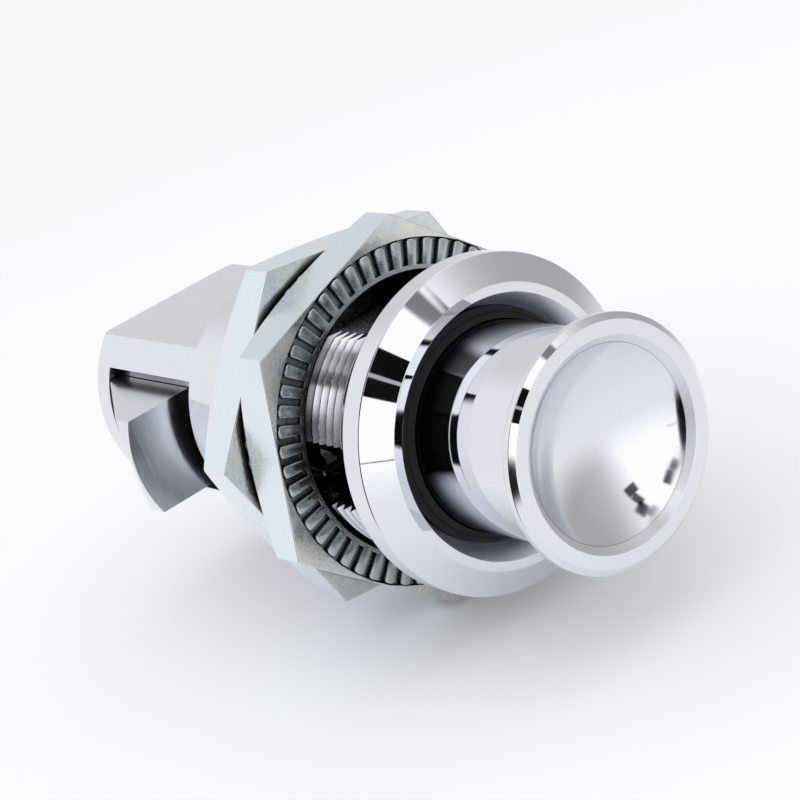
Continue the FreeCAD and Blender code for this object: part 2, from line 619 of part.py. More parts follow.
# Knob: flange, neck and sliding tube in one piece, with the track that the wire follows
def make_knob():
    body = new_body("knob")
    face = "-Sizes.knob_stand"
    land_end = "Sizes.knob_land - Sizes.knob_stand"
    pocket = f"{DISH_R} + Sizes.seat_gap"
    turned(body, "knob_blank", [
        (KNOB_FACE_R, face),
        (KNOB_R, face),
        (KNOB_R, land_end),
        ("Sizes.neck_r", f"{land_end} + Sizes.knob_taper"),
        ("Sizes.neck_r", TUBE_END),
        (TUBE_BORE_R, TUBE_END),
        (TUBE_BORE_R, WEB_BACK),
        ("0", WEB_BACK),
        ("0", WEB_FRONT),
        (pocket, WEB_FRONT),
        (pocket, "Sizes.rim_drop - Sizes.knob_stand"),
    ])
    round_edges(body, "knob_edges", [(KNOB_FACE_R, face), (KNOB_R, face), (KNOB_R, land_end)])
    ring_front = f"{ROD_START} + Sizes.ring_slack / 2"
    ring_back = f"{ring_front} + Sizes.ring_thick + Sizes.ring_slack"
    inside = f"{TUBE_BORE_R} - Sizes.over"
    turned(body, "ring_groove", [
        (inside, ring_front),
        (RING_GROOVE_R, ring_front),
        (RING_GROOVE_R, ring_back),
        (inside, ring_back),
    ], cut=True)
    track_front = f"({WIRE_TIP_Y} - Sizes.knob_travel - {WIRE_ROOM})"
    box(body, "wire_track",
        (f"-{KNOB_R}", f"-{TRACK_FLOOR}"),
        (track_front, f"{TUBE_END} + Sizes.over"),
        (f"-{TRACK_HALF}", TRACK_HALF))
    nose = f"({track_front} + 2 * {WIRE_ROOM} + Sizes.island_head)"
    island = outline_sketch(body, "island_outline", [
        (nose, f"-{ISLAND_HALF}"),
        (f"{nose} + {ISLAND_HALF}", "0"),
        (nose, ISLAND_HALF),
        (f"{nose} + Sizes.island_len / 2", ISLAND_HALF),
        (f"{nose} + Sizes.island_len", f"-{ISLAND_HALF} / 2"),
        (f"{nose} + Sizes.island_len / 2", f"-{ISLAND_HALF}"),
    ], "YZ_Plane", f"Sizes.root - {TRACK_FLOOR}")
    raised(body, "track_island", island, "Sizes.track_depth")


# Thumb dish: the polished hollow disc pressed into the knob
def make_thumb_dish():
    body = new_body("thumb_dish")
    edge = "(Sizes.rim_drop - Sizes.knob_stand)"
    ball_r = f"(({DISH_R} * {DISH_R} / Sizes.dish_sink + Sizes.dish_sink) / 2)"
    round_bar(body, "dish_blank", "y", ("0", edge, "0"), DISH_R, "Sizes.dish_height", cut=False)
    hollow = body.newObject("PartDesign::SubtractiveSphere", "dish_hollow")
    hollow.Placement = Placement(Vector(), TURN_TO["y"])
    bind(hollow, "Radius", ball_r)
    bind(hollow, "Placement.Base.y", f"{edge} + Sizes.dish_sink - {ball_r}")
    document.recompute()


def make_retaining_ring():
    body = new_body("retaining_ring")
    front = f"{ROD_START} + Sizes.ring_slack"
    back = f"{front} + Sizes.ring_thick"
    outer = f"{RING_GROOVE_R} - Sizes.seat_gap"
    turned(body, "ring_disc", [
        (RING_BORE_R, front), (outer, front), (outer, back), (RING_BORE_R, back),
    ])
    box(body, "ring_opening", ("-Sizes.ring_gap_half", "Sizes.ring_gap_half"),
        ("0", TUBE_END), ("0", KNOB_R))
    document.recompute()


# Part objects that are joined by boolean steps
def solid(kind, name, place, turn=None, **lengths):
    """A primitive whose place and lengths are sheet expressions."""
    item = document.addObject("Part::" + kind, name)
    if turn:
        item.Placement = Placement(Vector(), turn)
    for letter, expression in zip("xyz", place):
        bind(item, f"Placement.Base.{letter}", expression)
    for prop, expression in lengths.items():
        bind(item, prop, expression)
    return item


def joined(name, pieces):
    item = document.addObject("Part::MultiFuse", name)
    item.Shapes = pieces
    return item


def less(name, base, tool):
    item = document.addObject("Part::Cut", name)
    item.Base = base
    item.Tool = tool
    return item


# Cap screws: two countersunk screws with a driver slot
def make_cap_screws():
    back = f"{CAP_SEAT} + Sizes.cap_thick"
    head_len = "(Sizes.cap_head_r - Sizes.cap_screw_r)"
    head = solid("Cone", "cap_screw_head",
                 ("Sizes.cap_screw_x", f"{back} - {head_len}", f"-{CAP_SCREW_Z}"), TURN_TO["y"],
                 Radius1="Sizes.cap_screw_r", Radius2="Sizes.cap_head_r", Height=head_len)
    shank = solid("Cylinder", "cap_screw_shank",
                  ("Sizes.cap_screw_x", f"{back} - Sizes.cap_screw_len", f"-{CAP_SCREW_Z}"),
                  TURN_TO["y"], Radius="Sizes.cap_screw_r - Sizes.seat_gap",
                  Height=f"Sizes.cap_screw_len - {head_len} / 2")
    driver = solid("Box", "cap_screw_driver",
                   ("Sizes.cap_screw_x - Sizes.cap_head_r", f"{back} - {head_len} / 2",
                    f"-{CAP_SCREW_Z} - Sizes.cap_head_r / 6"),
                   Length="2 * Sizes.cap_head_r", Width=head_len, Height="Sizes.cap_head_r / 3")
    right = less("cap_screw_right", joined("cap_screw_blank", [head, shank]), driver)
    left = document.addObject("Part::Mirroring", "cap_screw_left")
    left.Source = right
    left.Normal = Vector(1, 0, 0)
    pair = document.addObject("Part::Compound", "cap_screw_pair")
    pair.Links = [right, left]
    node("cap_screws", pair)


# Latch wire: swings in the barrel's slot, its tip in the tube's track
def make_latch_wire():
    reach = f"({SET_SCREW_Y} - {WIRE_TIP_Y})"
    pivot_end = f"-{HOUSING_R} + Sizes.pivot_wall + Sizes.root"
    long_leg = solid("Cylinder", "wire_leg", (WIRE_X, f"-{reach}", "0"), TURN_TO["y"],
                     Radius="Sizes.wire_r", Height=reach)
    tip = solid("Cylinder", "wire_tip", (WIRE_X, f"-{reach}", "0"), TURN_TO["x"],
                Radius="Sizes.wire_r", Height=f"-{WIRE_X} - {TRACK_FLOOR} - Sizes.wire_gap")
    pivot = solid("Cylinder", "wire_pivot", (pivot_end, "0", "0"), TURN_TO["x"],
                  Radius="Sizes.wire_r", Height=f"{WIRE_X} - ({pivot_end})")
    bends = [
        solid("Sphere", f"wire_bend_{word}", (WIRE_X, place, "0"), Radius="Sizes.wire_r")
        for word, place in (("front", f"-{reach}"), ("rear", "0"))
    ]
    wire = joined("wire_bent", [long_leg, tip, pivot] + bends)
    wire.Placement = Placement(Vector(), Rotation(Vector(1, 0, 0), 1))
    bind(wire, "Placement.Rotation.Angle", "Sizes.wire_swing * 1 deg")
    bind(wire, "Placement.Base.y", SET_SCREW_Y)
    node("latch_wire", wire)


# Latch bolt: a wedge with a round outer face, drawn in by the pin in its slanted slot
def make_latch_bolt():
    root_x = f"sqrt({HOUSING_R} * {HOUSING_R} - Sizes.bolt_half * Sizes.bolt_half)"
    corner_x = f"(Sizes.bolt_travel + {root_x})"
    slope = "(Sizes.bolt_travel / (Sizes.bolt_len - Sizes.bolt_land))"
    wedge = document.addObject("Part::Wedge", "bolt_wedge")
    for prop, expression in (
        ("Ymin", BOLT_FRONT), ("Ymax", BOLT_BACK),
        ("Xmin", f"-({corner_x} + {slope} * Sizes.bolt_land)"), ("Xmax", "Sizes.bolt_tail"),
        ("X2min", f"-{root_x}"), ("X2max", "Sizes.bolt_tail"),
        ("Zmin", "-Sizes.bolt_half"), ("Zmax", "Sizes.bolt_half"),
        ("Z2min", "-Sizes.bolt_half"), ("Z2max", "Sizes.bolt_half"),
    ):
        bind(wedge, prop, expression)
    before = f"{BOLT_FRONT} - Sizes.over"
    round_face = solid("Cylinder", "bolt_round", ("-Sizes.bolt_travel", before, "0"), TURN_TO["y"],
                       Radius=f"{HOUSING_R} - Sizes.running",
                       Height="Sizes.bolt_len + 2 * Sizes.over")
    blank = document.addObject("Part::Common", "bolt_blank")
    blank.Base = wedge
    blank.Tool = round_face
    tongue_bottom = "(Sizes.bolt_travel + Sizes.tongue_half_w + Sizes.tongue_gap)"
    tongue_room = solid(
        "Box", "bolt_tongue_slot",
        (f"-{tongue_bottom}", before, "-Sizes.tongue_half_t - Sizes.tongue_gap"),
        Length=f"{tongue_bottom} + Sizes.bolt_tail + Sizes.over",
        Width=f"{PIN_Y} + Sizes.tongue_nose + 2 * Sizes.tongue_gap - ({before})",
        Height="2 * (Sizes.tongue_half_t + Sizes.tongue_gap)")
    slot_r = "(Sizes.pin_r + Sizes.running)"
    below = "-Sizes.bolt_half - Sizes.over"
    through = "2 * (Sizes.bolt_half + Sizes.over)"
    inner_y = f"({PIN_Y} - Sizes.pull_travel)"
    cam_turn = "atan(Sizes.pull_travel / Sizes.bolt_travel)"
    cam_ends = [
        solid("Cylinder", f"cam_end_{word}", (x, y, below), Radius=slot_r, Height=through)
        for word, x, y in (("out", "0", PIN_Y), ("in", "-Sizes.bolt_travel", inner_y))
    ]
    cam_middle = solid("Box", "cam_middle",
                       (f"{slot_r} * sin({cam_turn}) - Sizes.bolt_travel",
                        f"{inner_y} - {slot_r} * cos({cam_turn})", below),
                       Rotation(Vector(0, 0, 1), 1),
                       Length=f"Sizes.bolt_travel / cos({cam_turn})",
                       Width=f"2 * {slot_r}", Height=through)
    bind(cam_middle, "Placement.Rotation.Angle", cam_turn)
    spring_room = solid("Cylinder", "bolt_spring_pocket",
                        ("-Sizes.spring_pocket_x", SPRING_Y, "0"), TURN_TO["x"],
                        Radius=POCKET_R,
                        Height="Sizes.spring_pocket_x + Sizes.bolt_tail + Sizes.over")
    rooms = joined("bolt_rooms", [tongue_room, cam_middle, spring_room] + cam_ends)
    node("latch_bolt", less("bolt_cut", blank, rooms))


# Springs: one unbroken wire each, wound on pairs of tangent arcs
def arc_between(start, corner, end):
    """The arc from start to end whose end tangents meet at the corner."""
    middle = (start + end) * 0.5
    bulge = math.atan2((corner - middle).Length, (end - start).Length / 2)
    crown = middle + (corner - middle) * (math.tan(bulge / 2) / math.tan(bulge))
    return Part.Arc(start, crown, end).toShape()


def helix_point(coil_r, rise, angle):
    return Vector(coil_r * math.cos(angle), coil_r * math.sin(angle), rise * angle / (2 * math.pi))


def helix_tangent(coil_r, rise, angle):
    tangent = Vector(-coil_r * math.sin(angle), coil_r * math.cos(angle), rise / (2 * math.pi))
    return tangent.normalize()


def coil_shape(coil_r, wire_r, rise, turns):
    """A spring's wire along +Z, its centre line starting at the origin's height."""
    edges = []
    for quarter in range(round(turns * 4)):
        a, b = quarter * math.pi / 2, (quarter + 1) * math.pi / 2
        p, q = helix_point(coil_r, rise, a), helix_point(coil_r, rise, b)
        s, t = helix_tangent(coil_r, rise, a), helix_tangent(coil_r, rise, b)
        gap = q - p
        lean = gap.dot(s + t)
        spread = 2 * (1 - s.dot(t))
        reach = (math.sqrt(lean * lean + 2 * spread * gap.dot(gap)) - lean) / spread
        first, last = p + s * (reach / 2), q - t * (reach / 2)
        meet = (first + last) * 0.5
        edges += [arc_between(p, first, meet), arc_between(meet, last, q)]
    path = Part.Wire(edges)
    start = helix_point(coil_r, rise, 0)
    section = Part.Circle(start, helix_tangent(coil_r, rise, 0), wire_r).toShape()
    return path.makePipeShell([Part.Wire([section])], True, False)


def least_gap(coil_r, wire_r, rise, turns):
    """The least distance between the wire's skins on turns side by side, from points."""
    steps = 90
    angles = [2 * math.pi * i / steps for i in range(round(turns * steps) + 1)]
    points = [helix_point(coil_r, rise, angle) for angle in angles]
    apart = steps // 2
    tries = range(apart, min(len(points), 2 * steps))
    return min((points[i] - points[0]).Length for i in tries) - 2 * wire_r


def make_spring(label, coil_r, wire_r, turns, place, axis, length):
    """A spring that fills the length from its place along one axis."""
    rise = (length - 2 * wire_r) / turns
    print(f"{label}: least gap between turns {least_gap(coil_r, wire_r, rise, turns):.2f} mm")
    spring = document.addObject("Part::Feature", label + "_coil")
    spring.Shape = coil_shape(coil_r, wire_r, rise, turns)
    along = TURN_TO[axis].multVec(Vector(0, 0, wire_r))
    spring.Placement = Placement(place + along, TURN_TO[axis])
    node(label, spring)


def make_springs():
    end_gap = number("Sizes.skim")
    front = number(WEB_BACK) + end_gap
    make_spring("knob_spring", number(KNOB_COIL_R), number("Sizes.knob_wire_r"),
                number("Sizes.knob_turns"), Vector(0, front, 0), "y",
                number(WASHER_FRONT) - end_gap - front)
    bottom = end_gap - number("Sizes.spring_pocket_x")
    make_spring("bolt_spring", number("Sizes.bolt_coil_r"), number("Sizes.bolt_wire_r"),
                number("Sizes.bolt_turns"), Vector(bottom, number(SPRING_Y), 0), "x",
                number(f"{HOUSING_R} - Sizes.chamber_wall") - end_gap - bottom)


def export_nodes():
    """Checks every object, then writes one file for each sub-part."""
    document.recompute()
    broken = [item.Name for item in document.Objects if {"Invalid", "Error"} & set(item.State)]
    if broken:
        raise RuntimeError(f"objects that failed: {broken}")
    for item in nodes:
        if item.Shape.isNull() or not item.Shape.isValid():
            raise RuntimeError(f"{item.Label} has no valid shape")
    os.makedirs("parts", exist_ok=True)
    for item in nodes:
        item.Shape.exportStep(f"parts/{item.Label}.step")
        print(f"{item.Label}: {len(item.Shape.Solids)} solid, {item.Shape.Volume:.1f} mm3")


make_rosette()
make_barrel()
make_housing()
make_end_cap()
make_cap_screws()
make_set_screw()
make_dust_seal()
make_nut("front_nut", "Sizes.nut_front", "Sizes.front_nut_angle")
make_nut("rear_nut", REAR_NUT_FRONT, "Sizes.rear_nut_angle")
make_spindle()
make_disc("spindle_head", f"{TUBE_BORE_R} - Sizes.running", HEAD_FRONT, ROD_START)
make_disc("spring_washer", WASHER_R, WASHER_FRONT, HEAD_FRONT)
make_spindle_nut()
make_drive_pin()
make_knob()
make_thumb_dish()
make_retaining_ring()
make_latch_wire()
make_latch_bolt()
make_springs()
export_nodes()
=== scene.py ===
"""Looks for a push-knob cabinet lock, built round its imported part. Sizes are in millimetres
until a mesh is made, and +Y runs from the knob to the rear cap."""

import math

import bmesh
import bpy
from bpy.props import FloatProperty, FloatVectorProperty, IntProperty, PointerProperty
from bpy.types import Operator, Panel, PropertyGroup
from mathutils import Euler, Matrix, Vector


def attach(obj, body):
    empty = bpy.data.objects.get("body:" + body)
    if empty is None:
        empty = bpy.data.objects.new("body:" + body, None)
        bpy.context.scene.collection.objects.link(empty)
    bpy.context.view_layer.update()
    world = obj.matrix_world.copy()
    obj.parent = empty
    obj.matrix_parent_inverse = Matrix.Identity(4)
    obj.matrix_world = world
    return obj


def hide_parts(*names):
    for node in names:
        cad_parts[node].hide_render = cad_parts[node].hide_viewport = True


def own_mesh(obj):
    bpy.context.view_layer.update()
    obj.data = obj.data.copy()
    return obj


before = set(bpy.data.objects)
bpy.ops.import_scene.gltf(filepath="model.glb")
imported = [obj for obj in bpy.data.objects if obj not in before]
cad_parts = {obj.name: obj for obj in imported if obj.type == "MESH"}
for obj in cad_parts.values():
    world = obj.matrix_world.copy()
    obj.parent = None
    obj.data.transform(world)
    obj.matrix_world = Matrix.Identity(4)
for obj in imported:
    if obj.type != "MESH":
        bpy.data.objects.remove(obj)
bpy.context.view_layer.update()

bl_info = {
    "name": "Cabinet Lock Looks",
    "version": (1, 0, 0),
    "blender": (4, 5, 0),
    "location": "3D View > Sidebar > Cabinet Lock",
    "description": "Builds the chrome, zinc and rubber pieces of a push-knob cabinet lock",
    "category": "Object",
}

MM = 0.001
TURN = 2 * math.pi

# Places that several pieces share, in millimetres. Stations run along Y from the panel's face
WEB_BACK = -10.0
RECESS_SEAM = (9.585, -2.4)
THROAT_FRONT = -1.9
HOUSING_FRONT = 18.6
SET_SCREW = 22.5
WINDOW_FRONT = 27.5
BOLT_FRONT = 29.4
BOLT_SPRING = 39.35
BOLT_POCKET = -7.5
CAP_SEAT = 41.7
CAP_BACK = 44.4
REAR_FLAT = 3.05
SCREW_SIDE = 4.6
SCREW_DROP = -7.2
SCREW_HEAD = 0.9
SEAL_WIDTH = 0.6
RUNNING_FIT = 0.07
# How far a cutter runs past what it cuts
PAST = 1.0
# A thread's flank runs between these shares of the pitch, from the middle of the root
ROOT_EDGE, CREST_EDGE = 0.06, 0.44
# Painted shades, and the stamped zinc's warm tone, as sRGB hex
GAP_SHADE, NECK_SHADE, SLOT_SHADE = "08090B", "4C4F56", "050607"
GROOVE_SHADE, BORE_SHADE = "14181C", "101214"
FRONT_FACE_SHADE, STAMPED_WARM, RIB_RING_SHADE = "CBD3D6", "E9E6DA", "B4BABA"


def length(name, description, millimetres):
    """A distance that a user may change."""
    return FloatProperty(name=name, description=description, default=millimetres * MM,
                         min=0.0, subtype="DISTANCE", unit="LENGTH", precision=5)


def linear(hex_code):
    """An sRGB hex colour as linear red, green and blue."""
    channels = [int(hex_code[i:i + 2], 16) / 255 for i in (0, 2, 4)]
    return [c / 12.92 if c <= 0.04045 else ((c + 0.055) / 1.055) ** 2.4 for c in channels]


def colour(name, description, hex_code):
    """A colour that a user may change."""
    return FloatVectorProperty(name=name, description=description, subtype="COLOR",
                               size=3, min=0.0, max=1.0, default=linear(hex_code))


class LockSizes(PropertyGroup):
    """Sizes of the lock's visible forms"""

    neck_radius: length("Neck radius", "Knob neck and sliding tube", 8.5)
    flange_radius: length("Flange radius", "Knob's outer edge", 10.0)
    dish_radius: length("Dish radius", "Hollow insert in the knob", 7.7)
    dish_depth: length("Dish depth", "Depth of the hollow", 2.9)
    knob_stand: length("Knob stand", "Panel seat to the knob's face", 15.8)
    rosette_radius: length("Rosette radius", "Trim ring on the panel", 13.85)
    barrel_radius: length("Barrel radius", "Crest of the thread", 11.55)
    thread_pitch: length("Thread pitch", "Rise of the thread in one turn", 1.0)
    thread_depth: length("Thread depth", "Crest to root", 0.55)
    housing_radius: length("Housing radius", "Rear sleeve", 11.0)
    nut_flats: length("Nut flats", "Nut across its flats", 29.4)
    nut_thickness: length("Nut thickness", "Nut, front to back", 4.9)
    bolt_height: length("Bolt height", "Latch bolt, top to bottom", 9.0)
    bolt_travel: length("Bolt travel", "How far the bolt stands out", 5.5)
    ribs: IntProperty(name="Ribs", description="Ribs on a nut's face", default=54, min=3)


class LockColours(PropertyGroup):
    """Colours of the lock's finishes and of the floor"""

    chrome: colour("Chrome", "Polished chrome plate", "E3E4E9")
    plated_casting: colour("Plated casting", "Satin chrome on zinc alloy", "E4E5EB")
    zinc: colour("Zinc", "Bright zinc plate on the nuts", "E2EAF0")
    rubber: colour("Rubber", "Black seal", "101012")
    brass: colour("Brass", "Turned spindle pieces", "C9A35A")
    spring_steel: colour("Spring steel", "Wire and clips", "8F9296")
    floor: colour("Floor", "Table and backdrop", "F5F6F8")


# Meshes

def place_mesh(name, vertices, faces, sharp_angle=34):
    """A new object from points in millimetres, its doubles merged and its faces outwards."""
    mesh = bpy.data.meshes.new(name)
    mesh.from_pydata([Vector(v) * MM for v in vertices], [], faces)
    tidy_mesh(mesh, sharp_angle)
    piece = bpy.data.objects.new(name, mesh)
    bpy.context.scene.collection.objects.link(piece)
    return piece


def tidy_mesh(mesh, sharp_angle):
    """Merges doubles, turns faces outwards and shades smooth up to an angle."""
    work = bmesh.new()
    work.from_mesh(mesh)
    bmesh.ops.remove_doubles(work, verts=work.verts, dist=2e-7)
    bmesh.ops.recalc_face_normals(work, faces=work.faces)
    work.to_mesh(mesh)
    work.free()
    mesh.shade_smooth()
    mesh.set_sharp_from_angle(angle=math.radians(sharp_angle))


def rounded(outline, steps=4, support=0.03):
    """A closed outline's points, each corner given as radius, station and rounding."""
    points = []
    for i, (radius, station, rounding) in enumerate(outline):
        corner = Vector((radius, station))
        if rounding <= 0:
            points.append(corner)
            continue
        before = (Vector(outline[i - 1][:2]) - corner).normalized()
        after = (Vector(outline[(i + 1) % len(outline)][:2]) - corner).normalized()
        half = before.angle(after) / 2
        reach = rounding / math.tan(half)
        centre = corner + (before + after).normalized() * rounding / math.sin(half)
        start, end = corner + before * reach - centre, corner + after * reach - centre
        points.append(centre + start + before * support)
        for step in range(steps + 1):
            points.append(centre + start.slerp(end, step / steps).normalized() * rounding)
        points.append(centre + end + after * support)
    return points


def grid_faces(rows, columns, wrap_rows=True, wrap_columns=True):
    """Four-sided faces that join a grid of points."""
    faces = []
    for i in range(rows if wrap_rows else rows - 1):
        for j in range(columns if wrap_columns else columns - 1):
            a, b = i * columns + j, i * columns + (j + 1) % columns
            c, d = (i + 1) % rows * columns + (j + 1) % columns, (i + 1) % rows * columns + j
            faces.append((a, b, c, d))
    return faces


def turned(name, outline, columns=256, steps=4):
    """A form turned about the lock's axis."""
    loop = rounded(outline, steps)
    vertices = []
    for i in range(columns):
        angle = TURN * i / columns
        vertices += [(r * math.cos(angle), y, r * math.sin(angle)) for r, y in loop]
    return place_mesh(name, vertices, grid_faces(columns, len(loop)))


def box_mesh(name, low, high):
    """A box between two corners."""
    corners = [(x, y, z) for x in (low[0], high[0]) for y in (low[1], high[1])
               for z in (low[2], high[2])]
    faces = [(0, 1, 3, 2), (4, 6, 7, 5), (0, 4, 5, 1), (2, 3, 7, 6), (0, 2, 6, 4), (1, 5, 7, 3)]
    return place_mesh(name, corners, faces)


def rod_mesh(name, start, end, radius, columns=48):
    """A straight round bar between two points."""
    start, end = Vector(start), Vector(end)
    turn = (end - start).to_track_quat("Z", "Y")
    vertices = [start, end]
    for i in range(columns):
        offset = turn @ Vector((math.cos(TURN * i / columns), math.sin(TURN * i / columns), 0))
        vertices += [start + offset * radius, end + offset * radius]
    faces = []
    for i in range(columns):
        a, b = 2 + 2 * i, 2 + 2 * ((i + 1) % columns)
        faces += [(a, b, b + 1, a + 1), (0, b, a), (1, a + 1, b + 1)]
    return place_mesh(name, vertices, faces)


def move(piece, where, angle=0.0, axis="Z"):
    """Turns a mesh about an axis through the origin, then moves it by millimetres."""
    piece.data.transform(Matrix.Translation(Vector(where) * MM) @ Matrix.Rotation(angle, 4, axis))


def plain_mesh(piece):
    """Turns a piece's live modifiers into its mesh."""
    bpy.context.view_layer.update()
    graph = bpy.context.evaluated_depsgraph_get()
    made = bpy.data.meshes.new_from_object(piece.evaluated_get(graph), depsgraph=graph)
    piece.modifiers.clear()
    piece.data = made
    return piece


def carve(piece, cutters):
    """Cuts away each cutter in turn, and deletes it."""
    for cutter in cutters:
        cut = piece.modifiers.new("cut", "BOOLEAN")
        cut.object = cutter
        cut.operation = "DIFFERENCE"
        cut.solver = "EXACT"
    plain_mesh(piece)
    for cutter in cutters:
        bpy.data.objects.remove(cutter, do_unlink=True)
    return piece


def soften(piece, width, steps=3, angle=28):
    """Rounds the sharp edges of a carved piece."""
    tidy_mesh(piece.data, angle)
    bevel = piece.modifiers.new("edges", "BEVEL")
    bevel.width = width * MM
    bevel.segments = steps
    bevel.limit_method = "ANGLE"
    bevel.angle_limit = math.radians(angle)
    bevel.harden_normals = True
    return plain_mesh(piece)


def finish(piece, look, body, *nodes):
    """Gives a piece its named finish and body, and hides the nodes it stands for."""
    if not piece.data.polygons:
        raise RuntimeError(f"{piece.name} has no faces")
    piece.data.materials.clear()
    piece.data.materials.append(finish_named(look))
    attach(piece, body)
    if nodes:
        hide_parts(*nodes)
    return piece


# Node trees

def add(tree, kind, inputs=None, out=None, **settings):
    """Adds a node with its settings, and with its inputs by name, or as a list in their order.
    Returns an output, by default the first."""
    made = tree.nodes.new(kind)
    for key, setting in settings.items():
        setattr(made, key, setting)
    for key, given in inputs.items() if isinstance(inputs, dict) else enumerate(inputs or ()):
        if isinstance(given, bpy.types.NodeSocket):
            tree.links.new(given, made.inputs[key])
        else:
            made.inputs[key].default_value = given
    if out is not None:
        return made.outputs[out]
    return next((o for o in made.outputs if o.enabled), made)


def off_axis(tree, place):
    """A place's three parts, its part square to the lock's axis, and that part's length."""
    parts = add(tree, "ShaderNodeSeparateXYZ", [place]).node.outputs
    flat = add(tree, "ShaderNodeCombineXYZ", {"X": parts["X"], "Z": parts["Z"]})
    radius = add(tree, "ShaderNodeVectorMath", [flat], out="Value", operation="LENGTH")
    return parts, flat, radius


def geometry_tree(name, **inputs):
    """A new geometry tree with a mesh in and out, and named inputs."""
    tree = bpy.data.node_groups.new(name, "GeometryNodeTree")
    tree.interface.new_socket("Geometry", in_out="INPUT", socket_type="NodeSocketGeometry")
    for label, kind in inputs.items():
        tree.interface.new_socket(label, in_out="INPUT", socket_type="NodeSocket" + kind)
    tree.interface.new_socket("Geometry", in_out="OUTPUT", socket_type="NodeSocketGeometry")
    return tree, tree.nodes.new("NodeGroupInput").outputs


def end_tree(tree, geometry, material):
    """Realizes the copies, sets the material and ends the tree."""
    real = add(tree, "GeometryNodeRealizeInstances", [geometry])
    coated = add(tree, "GeometryNodeSetMaterial", {"Geometry": real, "Material": material})
    add(tree, "NodeGroupOutput", [coated])


def grow(piece, tree, **values):
    """Runs a geometry tree on a piece, with its inputs set by identifier."""
    modifier = piece.modifiers.new(tree.name, "NODES")
    modifier.node_group = tree
    for item in tree.interface.items_tree:
        if item.in_out == "INPUT" and item.name in values:
            modifier[item.identifier] = values[item.name]
    return plain_mesh(piece)


# Materials

def rgba(three):
    return (*three, 1.0)


def new_material(name, three, roughness, metallic=1.0):
    """A material with one shader, and that shader's tree, node and Object coordinates."""
    material = bpy.data.materials.new(name)
    material.use_nodes = True
    tree = material.node_tree
    shader = tree.nodes["Principled BSDF"]
    shader.inputs["Base Color"].default_value = rgba(three)
    shader.inputs["Metallic"].default_value = metallic
    shader.inputs["Roughness"].default_value = roughness
    return material, tree, shader, add(tree, "ShaderNodeTexCoord", out="Object")


def texture(tree, shader, haze, span, roughness, grain, strength, depth):
    """Lets one pattern vary the roughness, and another raise the surface by millimetres."""
    rough = add(tree, "ShaderNodeMapRange", [haze, *span, *roughness])
    tree.links.new(rough, shader.inputs["Roughness"])
    bump = add(tree, "ShaderNodeBump", {
        "Height": grain, "Strength": strength, "Distance": depth * MM})
    tree.links.new(bump, shader.inputs["Normal"])
    return rough


def layered(tree, shade, *layers):
    """A colour with others laid over it, each by its share. A hex code may stand for a colour."""
    for share, over in layers:
        low, high = (rgba(linear(c)) if isinstance(c, str) else c for c in (shade, over))
        shade = add(tree, "ShaderNodeMix", {0: share, 6: low, 7: high}, out=2, data_type="RGBA")
    return shade


def shaded_in_gaps(tree, clean, shade_over, reach, low, high):
    """A colour that painted shade darkens where a surface lies deep in a gap or groove."""
    open_share = add(tree, "ShaderNodeAmbientOcclusion", {"Distance": reach * MM}, out="AO")
    share = add(tree, "ShaderNodeMapRange", [open_share, low, high, 1.0, 0.0])
    return layered(tree, clean, (share, shade_over))


def chrome_plate(name, three, buffed_and_shaded=False, dullest=0.05):
    """Bright chrome plate on turned brass: a mirror with hairline polishing swirls."""
    material, tree, shader, place = new_material(name, three, 0.05)
    # Polishing haze in patches of about 3 mm, and hairlines about 0.15 mm apart in swirls
    haze = add(tree, "ShaderNodeTexNoise", {"Vector": place, "Scale": 330.0, "Detail": 3.0})
    swirl = add(tree, "ShaderNodeTexNoise", {
        "Vector": place, "Scale": 900.0, "Detail": 4.0, "Roughness": 0.6, "Distortion": 2.5})
    rough = texture(tree, shader, haze, (0.35, 0.75), (0.3 * dullest, dullest), swirl, 0.012, 0.02)
    if buffed_and_shaded:
        # The mouth of the hollow is only buffed
        parts, _, radius = off_axis(tree, place)
        buffed = add(tree, "ShaderNodeMapRange", [radius, 8.45 * MM, 8.3 * MM, 0.0, 0.3])
        inside = add(tree, "ShaderNodeMath", [parts["Y"], -13.0 * MM], operation="LESS_THAN")
        buffed = add(tree, "ShaderNodeMath", [buffed, inside], operation="MULTIPLY")
        rough = add(tree, "ShaderNodeMath", [rough, buffed], operation="ADD")
        tree.links.new(rough, shader.inputs["Roughness"])
        # Painted grey shade on the neck where it slides through the seal
        shade = shaded_in_gaps(tree, rgba(three), NECK_SHADE, 3.0, 0.35, 0.75)
        # Painted black shade on the tube, where the barrel's slot shows it
        tube = add(tree, "ShaderNodeMapRange", [parts["Y"], -1.0 * MM, 0.5 * MM])
        shade = layered(tree, shade, (tube, SLOT_SHADE))
        tree.links.new(shade, shader.inputs["Base Color"])
    return material


def satin_casting(name, three):
    """Chrome over a zinc alloy casting: softer than the knob, with faint pits and ripple."""
    material, tree, shader, place = new_material(name, three, 0.12)
    cloud = add(tree, "ShaderNodeTexNoise", {"Vector": place, "Scale": 260.0, "Detail": 5.0})
    texture(tree, shader, cloud, (0.3, 0.7), (0.07, 0.17), cloud, 0.05, 0.05)
    # Painted shade in the slot, in the window's corners and under the nuts
    shade = shaded_in_gaps(tree, rgba(three), GAP_SHADE, 5.0, 0.25, 0.8)
    tree.links.new(shade, shader.inputs["Base Color"])
    return material


def brushed_plate(name, three):
    """The bolt's ground faces: fine lines about 0.1 mm apart, drawn out along Z."""
    material, tree, shader, place = new_material(name, three, 0.2)
    lines = add(tree, "ShaderNodeMapping", {"Vector": place, "Scale": (9000.0, 2500.0, 260.0)})
    grain = add(tree, "ShaderNodeTexNoise", {"Vector": lines, "Scale": 1.0, "Detail": 3.0})
    texture(tree, shader, grain, (0.3, 0.7), (0.16, 0.26), grain, 0.05, 0.02)
    return material


